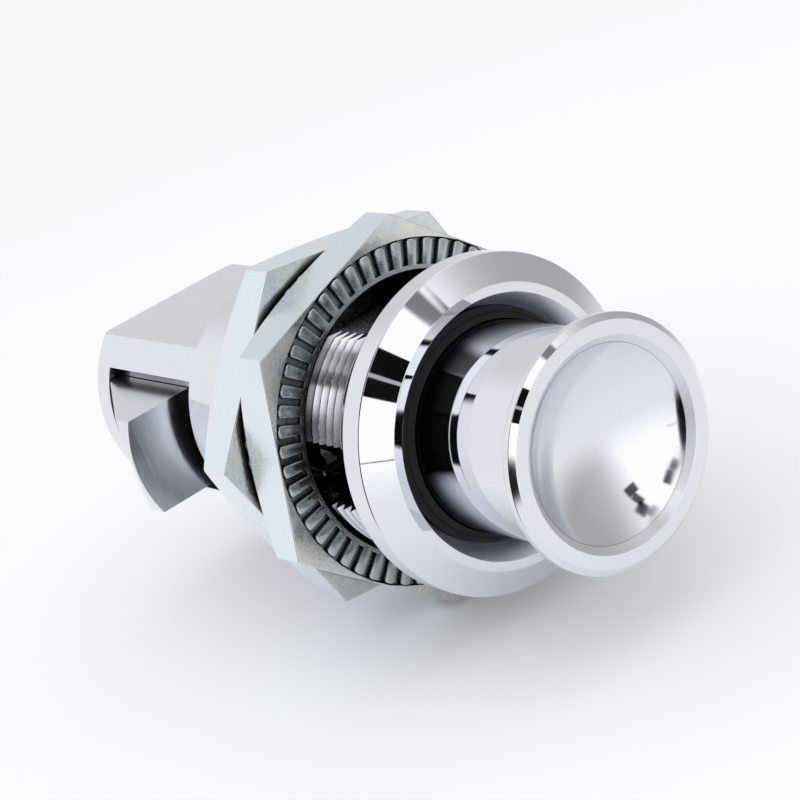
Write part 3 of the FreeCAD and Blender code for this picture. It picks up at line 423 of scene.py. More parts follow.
def zinc_plate(name, three):
    """Bright zinc plate on steel: bluish on the milled flats, grainy with warm blotches on the
    stamped faces, which painted shade greys, and greyed by painted shade in the ring of ribs."""
    material, tree, shader, place = new_material(name, three, 0.3)
    mottle = add(tree, "ShaderNodeTexNoise", {
        "Vector": place, "Scale": 520.0, "Detail": 6.0, "Roughness": 0.7})
    normal = add(tree, "ShaderNodeTexCoord", out="Normal")
    forward = add(tree, "ShaderNodeSeparateXYZ", [normal], out="Y")
    stamped = add(tree, "ShaderNodeMapRange", [forward, -0.9, -0.97])
    radius = off_axis(tree, place)[2]
    ring = add(tree, "ShaderNodeMapRange", [radius, 14.35 * MM, 14.6 * MM, 1.0, 0.0])
    mouth = add(tree, "ShaderNodeMath", [radius, 11.98 * MM], operation="LESS_THAN")
    # Faint warm blotches of about 2 mm on the stamped faces, over painted shade that greys them
    blotch = add(tree, "ShaderNodeMapRange", [mottle, 0.35, 0.65])
    warm = layered(tree, FRONT_FACE_SHADE, (blotch, STAMPED_WARM))
    # Painted shade greys the ring of ribs and blackens the nut's bore
    shade = layered(tree, rgba(three), (stamped, warm), (ring, RIB_RING_SHADE), (mouth, BORE_SHADE))
    # Painted shade in the grooves and in the gap between the nuts
    shade = shaded_in_gaps(tree, shade, GROOVE_SHADE, 1.2, 0.3, 0.75)
    tree.links.new(shade, shader.inputs["Base Color"])
    # Plated grain of about 0.2 mm, coarser on the stamped faces
    grain = add(tree, "ShaderNodeTexNoise", {"Vector": place, "Scale": 3600.0, "Detail": 3.0})
    strength = add(tree, "ShaderNodeMapRange", [stamped, 0.0, 1.0, 0.04, 0.22])
    texture(tree, shader, mottle, (0.3, 0.7), (0.2, 0.34), grain, strength, 0.06)
    return material


def seal_rubber(name, three):
    """Moulded nitrile rubber: matt black with a faint bloom."""
    material, tree, shader, place = new_material(name, three, 0.75, metallic=0.0)
    bloom = add(tree, "ShaderNodeTexNoise", {"Vector": place, "Scale": 700.0, "Detail": 4.0})
    texture(tree, shader, bloom, (0.0, 1.0), (0.6, 0.9), bloom, 0.2, 0.04)
    return material


def worked_metal(name, three, roughness=0.3):
    """A plain metal of the inner works, turned or drawn, with fine tool marks."""
    material, tree, shader, place = new_material(name, three, roughness)
    marks = add(tree, "ShaderNodeTexNoise", {"Vector": place, "Scale": 1500.0, "Detail": 3.0})
    texture(tree, shader, marks, (0.0, 1.0), (roughness * 0.7, roughness * 1.3), marks, 0.1, 0.03)
    # Painted shade deep in gaps and grooves
    shade = shaded_in_gaps(tree, rgba(three), GAP_SHADE, 3.0, 0.3, 0.8)
    tree.links.new(shade, shader.inputs["Base Color"])
    return material


# Each finish's maker, its colour and the maker's settings
FINISHES = {
    "polished chrome plate": (chrome_plate, "chrome", {}),
    "buffed chrome plate": (chrome_plate, "chrome", {"dullest": 0.2}),
    "chrome plate with painted shade on the neck": (chrome_plate, "chrome", {"buffed_and_shaded": True}),
    "chrome-plated zinc alloy": (satin_casting, "plated_casting", {}),
    "ground and plated zinc alloy": (brushed_plate, "plated_casting", {}),
    "zinc-plated steel": (zinc_plate, "zinc", {}),
    "moulded black rubber": (seal_rubber, "rubber", {}),
    "turned brass": (worked_metal, "brass", {"roughness": 0.25}),
    "drawn spring steel": (worked_metal, "spring_steel", {}),
}


def finish_named(name):
    """A finish of the lock, made once and shared."""
    if name in bpy.data.materials:
        return bpy.data.materials[name]
    make, shade, settings = FINISHES[name]
    return make(name, getattr(bpy.context.scene.lock_colours, shade), **settings)


# Pieces

class LOCK_OT_knob(Operator):
    """Knob with its flange, neck and sliding tube"""

    bl_idname = "lock.knob"
    bl_label = "Knob"

    def execute(self, context):
        sizes = context.scene.lock_sizes
        neck, flange = sizes.neck_radius / MM, sizes.flange_radius / MM
        dish, face = sizes.dish_radius / MM, -sizes.knob_stand / MM
        bore, pocket = neck - 1.9, dish + 0.02
        web_front, end = -11.4, 13.5
        edge_front, edge_back, cone_back = face + 0.37, face + 0.95, face + 2.25
        # The groove that the retaining ring snaps into
        groove_front, groove_back, groove = 11.25, 12.15, bore + 0.5
        knob = turned("knob_shell", [
            (dish + 0.65, face, 0.1), (flange - 0.5, face, 0.05), (flange, edge_front, 0.05),
            (flange, edge_back, 0.12), (neck, cone_back, 0.3), (neck, end, 0.15),
            (bore, end, 0.15), (bore, groove_back, 0), (groove, groove_back, 0),
            (groove, groove_front, 0), (bore, groove_front, 0), (bore, WEB_BACK, 0.3),
            (0, WEB_BACK, 0), (0, web_front, 0), (pocket, web_front, 0), (pocket, face + 0.5, 0.04),
        ], columns=288, steps=5)
        # The latch wire's track, and the heart-shaped island that it goes round
        front, half_track, floor = -0.5, 1.9, 0.9 - neck
        track = box_mesh("track", (-flange - PAST, front, -half_track),
                         (floor, end + PAST, half_track))
        nose, half_island, lobe = 1.3, 0.7, 2.8
        island = [(nose, -half_island), (nose + half_island, 0.0), (nose, half_island),
                  (nose + lobe, half_island), (nose + 2 * lobe, -half_island / 2),
                  (nose + lobe, -half_island)]
        heights = (-neck - 3 * PAST, floor + 0.1)
        points = [(x, y, z) for x in heights for y, z in island]
        count = len(island)
        sides = [(i, (i + 1) % count, count + (i + 1) % count, count + i) for i in range(count)]
        caps = [(0, 1, 3), (1, 2, 3), (0, 3, 4), (0, 4, 5)]
        ends = [tuple(i + lift for i in cap) for cap in caps for lift in (0, count)]
        keep = place_mesh("island", points, sides + ends)
        carve(track, [keep])
        carve(knob, [track])
        tidy_mesh(knob.data, 30)
        finish(knob, "chrome plate with painted shade on the neck", "knob_group", "knob")
        return {"FINISHED"}


class LOCK_OT_thumb_dish(Operator):
    """Hollow disc pressed into the knob's face"""

    bl_idname = "lock.thumb_dish"
    bl_label = "Thumb dish"

    def execute(self, context):
        sizes = context.scene.lock_sizes
        radius, depth = sizes.dish_radius / MM, sizes.dish_depth / MM
        edge, thickness = 0.5 - sizes.knob_stand / MM, 3.9
        ball = (radius * radius / depth + depth) / 2
        rim, steps = math.asin(radius / ball), 48
        hollow = []
        for step in range(steps + 1):
            angle = rim * step / steps
            hollow.append((ball * math.sin(angle), edge + depth - ball + ball * math.cos(angle), 0))
        back = edge + thickness
        dish = turned("dish_insert", hollow + [(radius, back, 0.2), (0, back, 0)])
        finish(dish, "buffed chrome plate", "knob_group", "thumb_dish")
        return {"FINISHED"}


class LOCK_OT_rosette(Operator):
    """Turned trim ring that covers the hole in the panel"""

    bl_idname = "lock.rosette"
    bl_label = "Rosette"

    def execute(self, context):
        sizes = context.scene.lock_sizes
        outer, bore = sizes.rosette_radius / MM, sizes.barrel_radius / MM + 0.02
        recess, rim, face, edge = 10.75, 11.55, -3.6, -2.06
        ring = turned("rosette_ring", [
            (recess, face, 0.08), (rim, face, 0.08), (outer, edge, 0.14), (outer, 0, 0.12),
            (bore, 0, 0), (bore, RECESS_SEAM[1], 0), (*RECESS_SEAM, 0),
        ], columns=320)
        finish(ring, "polished chrome plate", "case", "rosette")
        return {"FINISHED"}


class LOCK_OT_dust_seal(Operator):
    """Black lip seal in the throat"""

    bl_idname = "lock.dust_seal"
    bl_label = "Dust seal"

    def execute(self, context):
        neck = context.scene.lock_sizes.neck_radius / MM
        rim, lip, back = neck + SEAL_WIDTH - 0.02, THROAT_FRONT - 0.45, 1.15
        seal = turned("seal_lip", [
            (neck + RUNNING_FIT, lip, 0.03), (rim, THROAT_FRONT, 0.06), (rim, back, 0.05),
            (neck + 0.3, back, 0.05),
        ], columns=192, steps=2)
        finish(seal, "moulded black rubber", "case", "dust_seal")
        return {"FINISHED"}


def thread_tree():
    """Presses a screw thread into a tube's outer wall."""
    tree, given = geometry_tree("Screw thread", Pitch="Float", Depth="Float", Radius="Float",
                                Start="Float", End="Float", Material="Material")
    parts, flat, radius = off_axis(tree, add(tree, "GeometryNodeInputPosition"))
    angle = add(tree, "ShaderNodeMath", [parts["Z"], parts["X"]], operation="ARCTAN2")
    turns = add(tree, "ShaderNodeMath", [angle, TURN], operation="DIVIDE")
    along = add(tree, "ShaderNodeMath", [parts["Y"], given["Start"]], operation="SUBTRACT")
    rise = add(tree, "ShaderNodeMath", [along, given["Pitch"]], operation="DIVIDE")
    phase = add(tree, "ShaderNodeMath", [rise, turns], operation="SUBTRACT")
    tooth = add(tree, "ShaderNodeMath", [phase, 0.5], operation="PINGPONG")
    cut = add(tree, "ShaderNodeMapRange", [tooth, ROOT_EDGE, CREST_EDGE, 1.0, 0.0])
    fade_out = add(tree, "ShaderNodeMath", [given["End"], parts["Y"]], operation="SUBTRACT")
    nearest = add(tree, "ShaderNodeMath", [along, fade_out], operation="MINIMUM")
    fade = add(tree, "ShaderNodeMapRange", [nearest, 0.0, given["Pitch"]])
    share = add(tree, "ShaderNodeMath", [cut, fade], operation="MULTIPLY")
    sink = add(tree, "ShaderNodeMath", [share, given["Depth"]], operation="MULTIPLY")
    inward = add(tree, "ShaderNodeVectorMath", [flat], operation="NORMALIZE")
    back = add(tree, "ShaderNodeMath", [sink, -1.0], operation="MULTIPLY")
    offset = add(tree, "ShaderNodeVectorMath", {0: inward, "Scale": back}, operation="SCALE")
    limit = add(tree, "ShaderNodeMath", [given["Radius"], 0.05 * MM], operation="SUBTRACT")
    outer = add(tree, "FunctionNodeCompare", [radius, limit], operation="GREATER_THAN")
    moved = add(tree, "GeometryNodeSetPosition", {
        "Geometry": given["Geometry"], "Selection": outer, "Offset": offset})
    end_tree(tree, moved, given["Material"])
    return tree


def slotted_tube(name, outer, inner, stations, half_slot, columns=192, shear=0.0):
    """A tube with a slot along its -X side; shear slants its rows by that rise in a turn."""
    loop_length = 2 * (columns + 1)
    vertices = []
    low, high = stations[0], stations[-1]
    for row, station in enumerate(stations):
        inside = 0 < row < len(stations) - 1
        for radius, order in ((outer, 1), (inner, -1)):
            edge = math.pi - math.asin(half_slot / radius)
            for i in range(columns + 1):
                angle = order * edge * (2 * i / columns - 1)
                slant = shear * angle / TURN if inside else 0.0
                y = min(max(station + slant, low), high)
                vertices.append((radius * math.cos(angle), y, radius * math.sin(angle)))
    faces = grid_faces(len(stations), loop_length, wrap_rows=False)
    last = (len(stations) - 1) * loop_length
    for i in range(columns):
        a, b = i, i + 1
        c, d = loop_length - 2 - i, loop_length - 1 - i
        faces += [(a, b, c, d), (last + a, last + b, last + c, last + d)]
    return place_mesh(name, vertices, faces)


class LOCK_OT_barrel(Operator):
    """Slotted barrel with a screw thread"""

    bl_idname = "lock.barrel"
    bl_label = "Barrel"

    def execute(self, context):
        sizes = context.scene.lock_sizes
        crest, pitch = sizes.barrel_radius / MM, sizes.thread_pitch / MM
        neck = sizes.neck_radius / MM
        bore, throat, half_slot = neck + RUNNING_FIT, neck + SEAL_WIDTH, 3.0
        shelf, start, end = 1.2, 2.6, HOUSING_FRONT
        tail_radius, tail_end = 9.95, 26.4
        collar = turned("barrel_collar", [
            (*RECESS_SEAM, 0), (crest, RECESS_SEAM[1], 0), (crest, start, 0), (bore, start, 0),
            (bore, shelf, 0), (throat, shelf, 0), (throat, THROAT_FRONT, 0.06),
        ])
        edges = (ROOT_EDGE, CREST_EDGE, 1 - CREST_EDGE, 1 - ROOT_EDGE)
        turns = range(-1, math.ceil((end - start) / pitch))
        stations = [start + (turn + edge) * pitch for turn in turns for edge in edges]
        stations = [start] + stations + [end]
        thread = slotted_tube("barrel_thread", crest, bore, stations, half_slot, shear=pitch)
        grow(thread, thread_tree(), Pitch=sizes.thread_pitch, Depth=sizes.thread_depth,
             Radius=sizes.barrel_radius, Start=start * MM, End=end * MM,
             Material=finish_named("chrome-plated zinc alloy"))
        flat = crest - 1.65
        for piece, low, high, angle in (
            (thread, start - PAST, end, 20), (collar, 0, start + PAST, 30),
        ):
            carve(piece, [box_mesh("flat", (-crest, low, flat), (crest, high, crest + PAST))])
            tidy_mesh(piece.data, angle)
        tail = slotted_tube("barrel_tail", tail_radius, bore, [end, tail_end], half_slot)
        carve(tail, [rod_mesh("screw_hole", (0, SET_SCREW, -12), (0, SET_SCREW, -6), 1.25)])
        finish(collar, "polished chrome plate", "case", "barrel")
        for piece in (thread, tail):
            finish(piece, "chrome-plated zinc alloy", "case")
        return {"FINISHED"}


def hexagon_columns(flats, corner_round=0.35, arc_steps=4, flat_steps=9):
    """Points round a hexagon with rounded corners, first corner on +X."""
    reach = (flats / 2 - corner_round) / math.cos(math.pi / 6)
    points = []
    for side in range(6):
        middle = side * math.pi / 3
        centre = Vector((math.cos(middle), math.sin(middle))) * reach
        for step in range(arc_steps + 1):
            angle = middle + math.radians(60 * step / arc_steps - 30)
            points.append(centre + Vector((math.cos(angle), math.sin(angle))) * corner_round)
        start = points[-1]
        turn = Matrix.Rotation(math.pi / 3, 2)
        end = turn @ points[-arc_steps - 1]
        for step in range(1, flat_steps):
            points.append(start.lerp(end, step / flat_steps))
    return points


def rib_tree():
    """Copies a rib round the lock's axis and joins the ribs to the nut."""
    tree, given = geometry_tree("Ring of ribs", Rib="Object", Count="Int", Material="Material")
    rib = add(tree, "GeometryNodeObjectInfo", {"Object": given["Rib"]}).node.outputs["Geometry"]
    points = add(tree, "GeometryNodePoints", {"Count": given["Count"]})
    index = add(tree, "GeometryNodeInputIndex")
    share = add(tree, "ShaderNodeMath", [index, given["Count"]], operation="DIVIDE")
    angle = add(tree, "ShaderNodeMath", [share, TURN], operation="MULTIPLY")
    turn = add(tree, "ShaderNodeCombineXYZ", {"Y": angle})
    ring = add(tree, "GeometryNodeInstanceOnPoints", {
        "Points": points, "Instance": rib, "Rotation": turn})
    both = tree.nodes.new("GeometryNodeJoinGeometry")
    tree.links.new(ring, both.inputs[0])
    tree.links.new(given["Geometry"], both.inputs[0])
    end_tree(tree, both.outputs[0], given["Material"])
    return tree


def rib_mesh(inner, outer, front, back, width):
    """One rib on the +X side: a bar that widens outwards, with a crowned top."""
    crown, nick = 0.1, 0.22
    wide, narrow = width * 0.55, width * 0.44
    half_plan = [(outer, 0.0), (outer - nick * 0.3, wide * 0.7), (outer - nick, wide),
                 (inner, narrow)]
    plan = half_plan + [(x, -z) for x, z in reversed(half_plan[1:])]
    rows = []
    for y, inset in ((back, 0.0), (front + crown, 0.0), (front + crown * 0.3, crown * 0.35),
                     (front, crown)):
        for x, z in plan:
            drop = (outer - x) / (outer - inner) * 0.1 if y < back else 0.0
            across = math.copysign(max(abs(z) - inset, 0.0), z)
            rows.append((min(x, outer - inset), y + drop, across))
    count = len(plan)
    faces = grid_faces(4, count, wrap_rows=False)
    faces += [tuple(base + i for i in range(count)) for base in (0, 3 * count)]
    return place_mesh("rib", rows, faces, 50)


class LOCK_OT_nuts(Operator):
    """Two hexagon nuts with ribs on their front faces"""

    bl_idname = "lock.nuts"
    bl_label = "Nuts"

    def execute(self, context):
        sizes = context.scene.lock_sizes
        zinc, tree = "zinc-plated steel", rib_tree()
        for name, front, corner_angle in (("front_nut", 8.0, 79.2), ("rear_nut", 13.1, 112.2)):
            nut = self.blank(name + "_hexagon", sizes, front)
            flat = sizes.nut_flats / MM / 2
            rib = rib_mesh(12.3, flat - 0.18, front - 0.15, front + 0.37, 0.95)
            grow(nut, tree, Rib=rib, Count=sizes.ribs, Material=finish_named(zinc))
            bpy.data.objects.remove(rib, do_unlink=True)
            move(nut, (0, 0, 0), -math.radians(corner_angle), "Y")
            finish(nut, zinc, name, name)
        return {"FINISHED"}

    def blank(self, name, sizes, front):
        """The nut without its ribs, its first corner on +X."""
        flat, crest = sizes.nut_flats / MM / 2, sizes.barrel_radius / MM
        back, floor = front + sizes.nut_thickness / MM, front + 0.35
        mouth, bore, back_edge = crest + 0.35, crest + 0.1, flat - 0.7
        ring = flat - 0.2
        vertices = []
        columns = hexagon_columns(2 * flat)
        for point in columns:
            side, angle = point.length, math.atan2(point.y, point.x)
            drop = (side - back_edge) * math.tan(math.radians(30))
            loop = rounded([
                (side, front, 0.1), (side, back - drop, 0.1), (back_edge, back, 0.15),
                (bore, back, 0.12), (bore, floor + 0.35, 0), (mouth, front + 0.3, 0.0),
                (mouth, front, 0.06), (mouth + 0.45, front, 0.05), (mouth + 0.5, floor, 0.04),
                (ring, floor, 0.04), (ring + 0.1, front, 0.05),
            ], steps=3, support=0.02)
            for radius, station in loop:
                vertices.append((radius * math.cos(angle), station, radius * math.sin(angle)))
        loop_count = len(vertices) // len(columns)
        return place_mesh(name, vertices, grid_faces(len(columns), loop_count), 24)


class LOCK_OT_housing(Operator):
    """Rear sleeve with the flat and the bolt window"""

    bl_idname = "lock.housing"
    bl_label = "Housing"

    def execute(self, context):
        sizes = context.scene.lock_sizes
        outer, half_bolt = sizes.housing_radius / MM, sizes.bolt_height / MM / 2
        past, end = outer + PAST, CAP_SEAT + PAST
        room, window = half_bolt + RUNNING_FIT, half_bolt + 1.1
        # The barrel's socket, the spindle head's room and the spindle's bore
        socket, socket_end, head, head_front, bore = 9.97, 26.5, 5.0, 20.0, 3.07
        screw_end = 37.3
        sleeve = turned("housing_sleeve", [
            (socket, HOUSING_FRONT, 0), (outer, HOUSING_FRONT, 0.12), (outer, CAP_SEAT, 0),
            (bore, CAP_SEAT, 0), (bore, head_front, 0), (head, head_front, 0.1),
            (head, socket_end, 0), (socket, socket_end, 0),
        ])
        carve(sleeve, [
            box_mesh("chamber", (-past, BOLT_FRONT - RUNNING_FIT, -room), (outer - 2.4, end, room)),
            box_mesh("window", (-past, WINDOW_FRONT, -window), (2.2 - outer, end, window)),
            box_mesh("flat", (-past, WINDOW_FRONT, outer - REAR_FLAT), (past, end, past)),
            rod_mesh("set_screw_hole", (0, SET_SCREW, -past), (0, SET_SCREW, -8.0), 1.25),
            rod_mesh("pivot_hole", (0.2 - outer, SET_SCREW, 0), (-8.5, SET_SCREW, 0), 0.52, 24),
        ] + [
            rod_mesh("screw_hole", (side, screw_end, SCREW_DROP), (side, end, SCREW_DROP), 1.0, 32)
            for side in (-SCREW_SIDE, SCREW_SIDE)
        ])
        soften(sleeve, 0.13)
        finish(sleeve, "chrome-plated zinc alloy", "case", "housing")
        return {"FINISHED"}


class LOCK_OT_end_cap(Operator):
    """Rear cap behind the bolt window"""

    bl_idname = "lock.end_cap"
    bl_label = "End cap"

    def execute(self, context):
        outer, hole = context.scene.lock_sizes.housing_radius / MM, 1.02
        past, start, end = outer + PAST, CAP_SEAT - PAST, CAP_BACK + PAST
        cap = turned("rear_cap", [
            (0, CAP_SEAT, 0), (outer, CAP_SEAT, 0), (outer, CAP_BACK, 0.7), (0, CAP_BACK, 0),
        ], steps=6)
        cutters = [box_mesh("flat", (-past, start, outer - REAR_FLAT), (past, end, past))]
        for side in (-SCREW_SIDE, SCREW_SIDE):
            cutters.append(rod_mesh("hole", (side, start, SCREW_DROP), (side, end, SCREW_DROP),
                                    hole))
            cutters.append(self.sink(side, hole))
        carve(cap, cutters)
        soften(cap, 0.1)
        finish(cap, "chrome-plated zinc alloy", "case", "end_cap")
        return {"FINISHED"}

    def sink(self, side, hole):
        """The cone that a countersunk head lies in."""
        low, high = CAP_BACK - SCREW_HEAD, CAP_BACK + 0.3
        sink = turned("sink", [(0, low, 0), (hole, low, 0), (hole + high - low, high, 0),
                               (0, high, 0)], columns=48)
        move(sink, (side, 0, SCREW_DROP))
        return sink


def screw_tree():
    """Copies one screw to points along X."""
    tree, given = geometry_tree("Pair of screws", Spacing="Float", Count="Int",
                                Material="Material")
    start = add(tree, "ShaderNodeMath", [given["Spacing"], -0.5], operation="MULTIPLY")
    points = add(tree, "GeometryNodeMeshLine", {
        "Count": given["Count"],
        "Start Location": add(tree, "ShaderNodeCombineXYZ", [start]),
        "Offset": add(tree, "ShaderNodeCombineXYZ", [given["Spacing"]])})
    copies = add(tree, "GeometryNodeInstanceOnPoints", {
        "Points": points, "Instance": given["Geometry"]})
    end_tree(tree, copies, given["Material"])
    return tree


class LOCK_OT_screws(Operator):
    """Countersunk cap screws and the set screw"""

    bl_idname = "lock.screws"
    bl_label = "Screws"

    def execute(self, context):
        outer = context.scene.lock_sizes.housing_radius / MM
        zinc = "zinc-plated steel"
        tip, shank, head, half_slot, cut = CAP_BACK - 7.0, 0.98, 1.87, 0.3, 3.0
        screw = turned("cap_screw", [
            (0, tip, 0), (0.8, tip, 0.1), (shank, tip + 0.3, 0), (shank, CAP_BACK - SCREW_HEAD, 0),
            (head, CAP_BACK - 0.02, 0.05), (1.4, CAP_BACK, 0), (0, CAP_BACK, 0),
        ], columns=64)
        carve(screw, [box_mesh("driver", (-cut, CAP_BACK - 0.5, -half_slot),
                               (cut, CAP_BACK + PAST, half_slot))])
        move(screw, (0, 0, SCREW_DROP))
        grow(screw, screw_tree(), Spacing=2 * SCREW_SIDE * MM, Count=2,
             Material=finish_named(zinc))
        soften(screw, 0.04, steps=2, angle=40)
        finish(screw, zinc, "case", "cap_screws")
        low, high = 0.12 - outer, -8.85
        grub = rod_mesh("grub_screw", (0, SET_SCREW, low), (0, SET_SCREW, high), 1.23, 64)
        socket = rod_mesh("socket", (0, SET_SCREW, low - PAST), (0, SET_SCREW, low + 1.2), 0.63, 6)
        carve(grub, [socket])
        soften(grub, 0.06, steps=2, angle=40)
        finish(grub, "drawn spring steel", "case", "set_screw")
        return {"FINISHED"}


class LOCK_OT_latch_bolt(Operator):
    """Wedge bolt with a round outer face"""

    bl_idname = "lock.latch_bolt"
    bl_label = "Latch bolt"

    def execute(self, context):
        sizes = context.scene.lock_sizes
        outer, travel = sizes.housing_radius / MM, sizes.bolt_travel / MM
        half = sizes.bolt_height / MM / 2
        front, back, land, tail = BOLT_FRONT, 41.5, 31.5, 2.6
        root = math.sqrt(outer * outer - half * half)
        slope = travel / (back - land)
        rows, levels = [], 32
        for level in range(levels + 1):
            z = half * (2 * level / levels - 1)
            tip = travel + math.sqrt((outer - RUNNING_FIT) ** 2 - z * z)
            meet = land - (tip - travel - root) / slope
            rows += [(tail, front, z), (-tip, front, z), (-tip, meet, z),
                     (-root, back, z), (tail, back, z)]
        faces = grid_faces(levels + 1, 5, wrap_rows=False)
        faces += [tuple(range(5)), tuple(levels * 5 + i for i in range(5))]
        bolt = place_mesh("bolt_wedge", rows, faces)
        # The slanted slot that the drive pin pulls on, and the tongue's way through the bolt
        pin, reach, slot, half_tongue = 35.6, 4.0, 1.0 + RUNNING_FIT, 1.65
        lean, past = math.atan(reach / travel), half + PAST
        cam = box_mesh("cam", (0, -slot, -past), (travel / math.cos(lean), slot, past))
        move(cam, (-travel, pin - reach, 0), lean)
        carve(bolt, [
            box_mesh("tongue", (-travel - 2.15, front - PAST, -half_tongue),
                     (tail + PAST, pin + 1.9, half_tongue)),
            cam,
            rod_mesh("cam_out", (0, pin, -past), (0, pin, past), slot),
            rod_mesh("cam_in", (-travel, pin - reach, -past), (-travel, pin - reach, past), slot),
            rod_mesh("pocket", (BOLT_POCKET, BOLT_SPRING, 0), (tail + PAST, BOLT_SPRING, 0), 1.45),
        ])
        soften(bolt, 0.09, angle=22)
        finish(bolt, "ground and plated zinc alloy", "bolt", "latch_bolt")
        return {"FINISHED"}


def spring_tree():
    """Winds a round wire into a helix along Z."""
    tree, given = geometry_tree("Wound spring", Turns="Float", Radius="Float", Length="Float",
                                Wire="Float", Material="Material")
    path = add(tree, "GeometryNodeCurveSpiral", {
        "Resolution": 40, "Rotations": given["Turns"], "Start Radius": given["Radius"],
        "End Radius": given["Radius"], "Height": given["Length"]})
    section = add(tree, "GeometryNodeCurvePrimitiveCircle", {
        "Resolution": 14, "Radius": given["Wire"]})
    wire = add(tree, "GeometryNodeCurveToMesh", {
        "Curve": path, "Profile Curve": section, "Fill Caps": True})
    smooth = add(tree, "GeometryNodeSetShadeSmooth", [wire])
    end_tree(tree, smooth, given["Material"])
    return tree


class LOCK_OT_springs(Operator):
    """Knob spring and bolt spring"""

    bl_idname = "lock.springs"
    bl_label = "Springs"

    def execute(self, context):
        tree, steel = spring_tree(), "drawn spring steel"
        along_y = ((0, WEB_BACK + 0.45, 0), -math.pi / 2, "X")
        along_x = ((BOLT_POCKET + 0.2, BOLT_SPRING, 0), math.pi / 2, "Y")
        for name, turns, radius, wire, extent, place, body, joint, axis, anchor, travel in (
            ("knob_spring", 6.0, 5.2, 0.45, 18.7, along_y, "spindle_group", "knob_push",
             (0, 1, 0), (0, 8.7 * MM, 0), 10.9),
            ("bolt_spring", 12.0, 1.1, 0.2, 16.1, along_x, "case", "bolt_slide",
             (1, 0, 0), (8.6 * MM, 0, 0), 5.5),
        ):
            coil = place_mesh(name + "_wire", [(0, 0, 0)], [])
            grow(coil, tree, Turns=turns, Radius=radius * MM, Length=(extent - 2 * wire) * MM,
                 Wire=wire * MM, Material=finish_named(steel))
            tidy_mesh(coil.data, 50)
            move(coil, *place)
            finish(coil, steel, body, name)
            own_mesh(coil)
        return {"FINISHED"}


class LOCK_OT_inner_works(Operator):
    """Finishes for the spindle, pin, ring and wire"""

    bl_idname = "lock.inner_works"
    bl_label = "Inner works"

    def execute(self, context):
        for metal, names in (
            ("turned brass", ("spindle", "spindle_head", "spindle_nut")),
            ("drawn spring steel", ("spring_washer", "drive_pin", "retaining_ring", "latch_wire")),
        ):
            for name in names:
                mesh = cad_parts[name].data
                for index in range(len(mesh.materials)):
                    mesh.materials[index] = finish_named(metal)
        return {"FINISHED"}


# Stage

def heading(azimuth, elevation):
    """A direction from the lock, in degrees right of the knob's axis and up."""
    around, up = math.radians(azimuth), math.radians(elevation)
    return Vector((math.sin(around) * math.cos(up), -math.cos(around) * math.cos(up),
                   math.sin(up)))


def facing(tree, ray, place):
    """How nearly a ray points in a direction."""
    return add(tree, "ShaderNodeVectorMath", [ray, heading(*place)], out="Value",
               operation="DOT_PRODUCT")


# Dark shapes of the room, each as azimuth, elevation, tilt, width and height in degrees, edge
# softness as a share of the half size, and the share of light that is left
CARDS = (
    (-58.8, -4.0, 12.0, 44.0, 70.0, 0.03, 0.004),
    (-66.0, 48.0, 0.0, 60.0, 40.0, 0.05, 0.01),
    (-18.0, 64.0, 0.0, 60.0, 20.0, 0.3, 0.1),
    (-24.3, 23.3, 45.0, 6.0, 7.6, 0.06, 0.004),
    (-20.2, 26.4, 45.0, 6.0, 2.6, 0.1, 0.4),
    (-15.2, 30.1, 45.0, 6.0, 10.3, 0.06, 0.004),
    (-32.0, -4.6, 0.0, 7.5, 0.6, 0.3, 0.15),
    (17.0, 42.5, 0.0, 9.0, 4.5, 0.3, 0.2),
    (22.5, 36.5, -10.0, 10.0, 8.0, 0.2, 0.04),
    (18.5, 30.0, -15.0, 6.5, 9.0, 0.3, 0.1),
    (17.5, 22.5, 0.0, 10.5, 6.5, 0.2, 0.08),
    (146.0, 21.0, 0.0, 70.0, 60.0, 0.5, 0.8),
)


def dark_card(tree, ray, azimuth, elevation, tilt, width, height, soft, left):
    """The share of light that passes a flat card far away."""
    ahead = heading(azimuth, elevation)
    level = heading(azimuth + 90, 0)
    upright = ahead.cross(level)
    turn = Matrix.Rotation(math.radians(-tilt), 3, ahead)
    forward = facing(tree, ray, (azimuth, elevation))
    covers = add(tree, "ShaderNodeMath", [forward, 0.0], operation="GREATER_THAN")
    for side, angle in ((turn @ level, width), (turn @ upright, height)):
        along = add(tree, "ShaderNodeVectorMath", [ray, side], out="Value",
                    operation="DOT_PRODUCT")
        slope = add(tree, "ShaderNodeMath", [along, forward], operation="DIVIDE")
        reach = add(tree, "ShaderNodeMath", [slope], operation="ABSOLUTE")
        half = math.tan(math.radians(angle / 2))
        inside = add(tree, "ShaderNodeMapRange",
                     [reach, half * (1 - soft), half * (1 + soft), 1.0, 0.0],
                     interpolation_type="SMOOTHSTEP")
        covers = add(tree, "ShaderNodeMath", [covers, inside], operation="MULTIPLY")
    return add(tree, "ShaderNodeMapRange", [covers, 0.0, 1.0, 1.0, left])


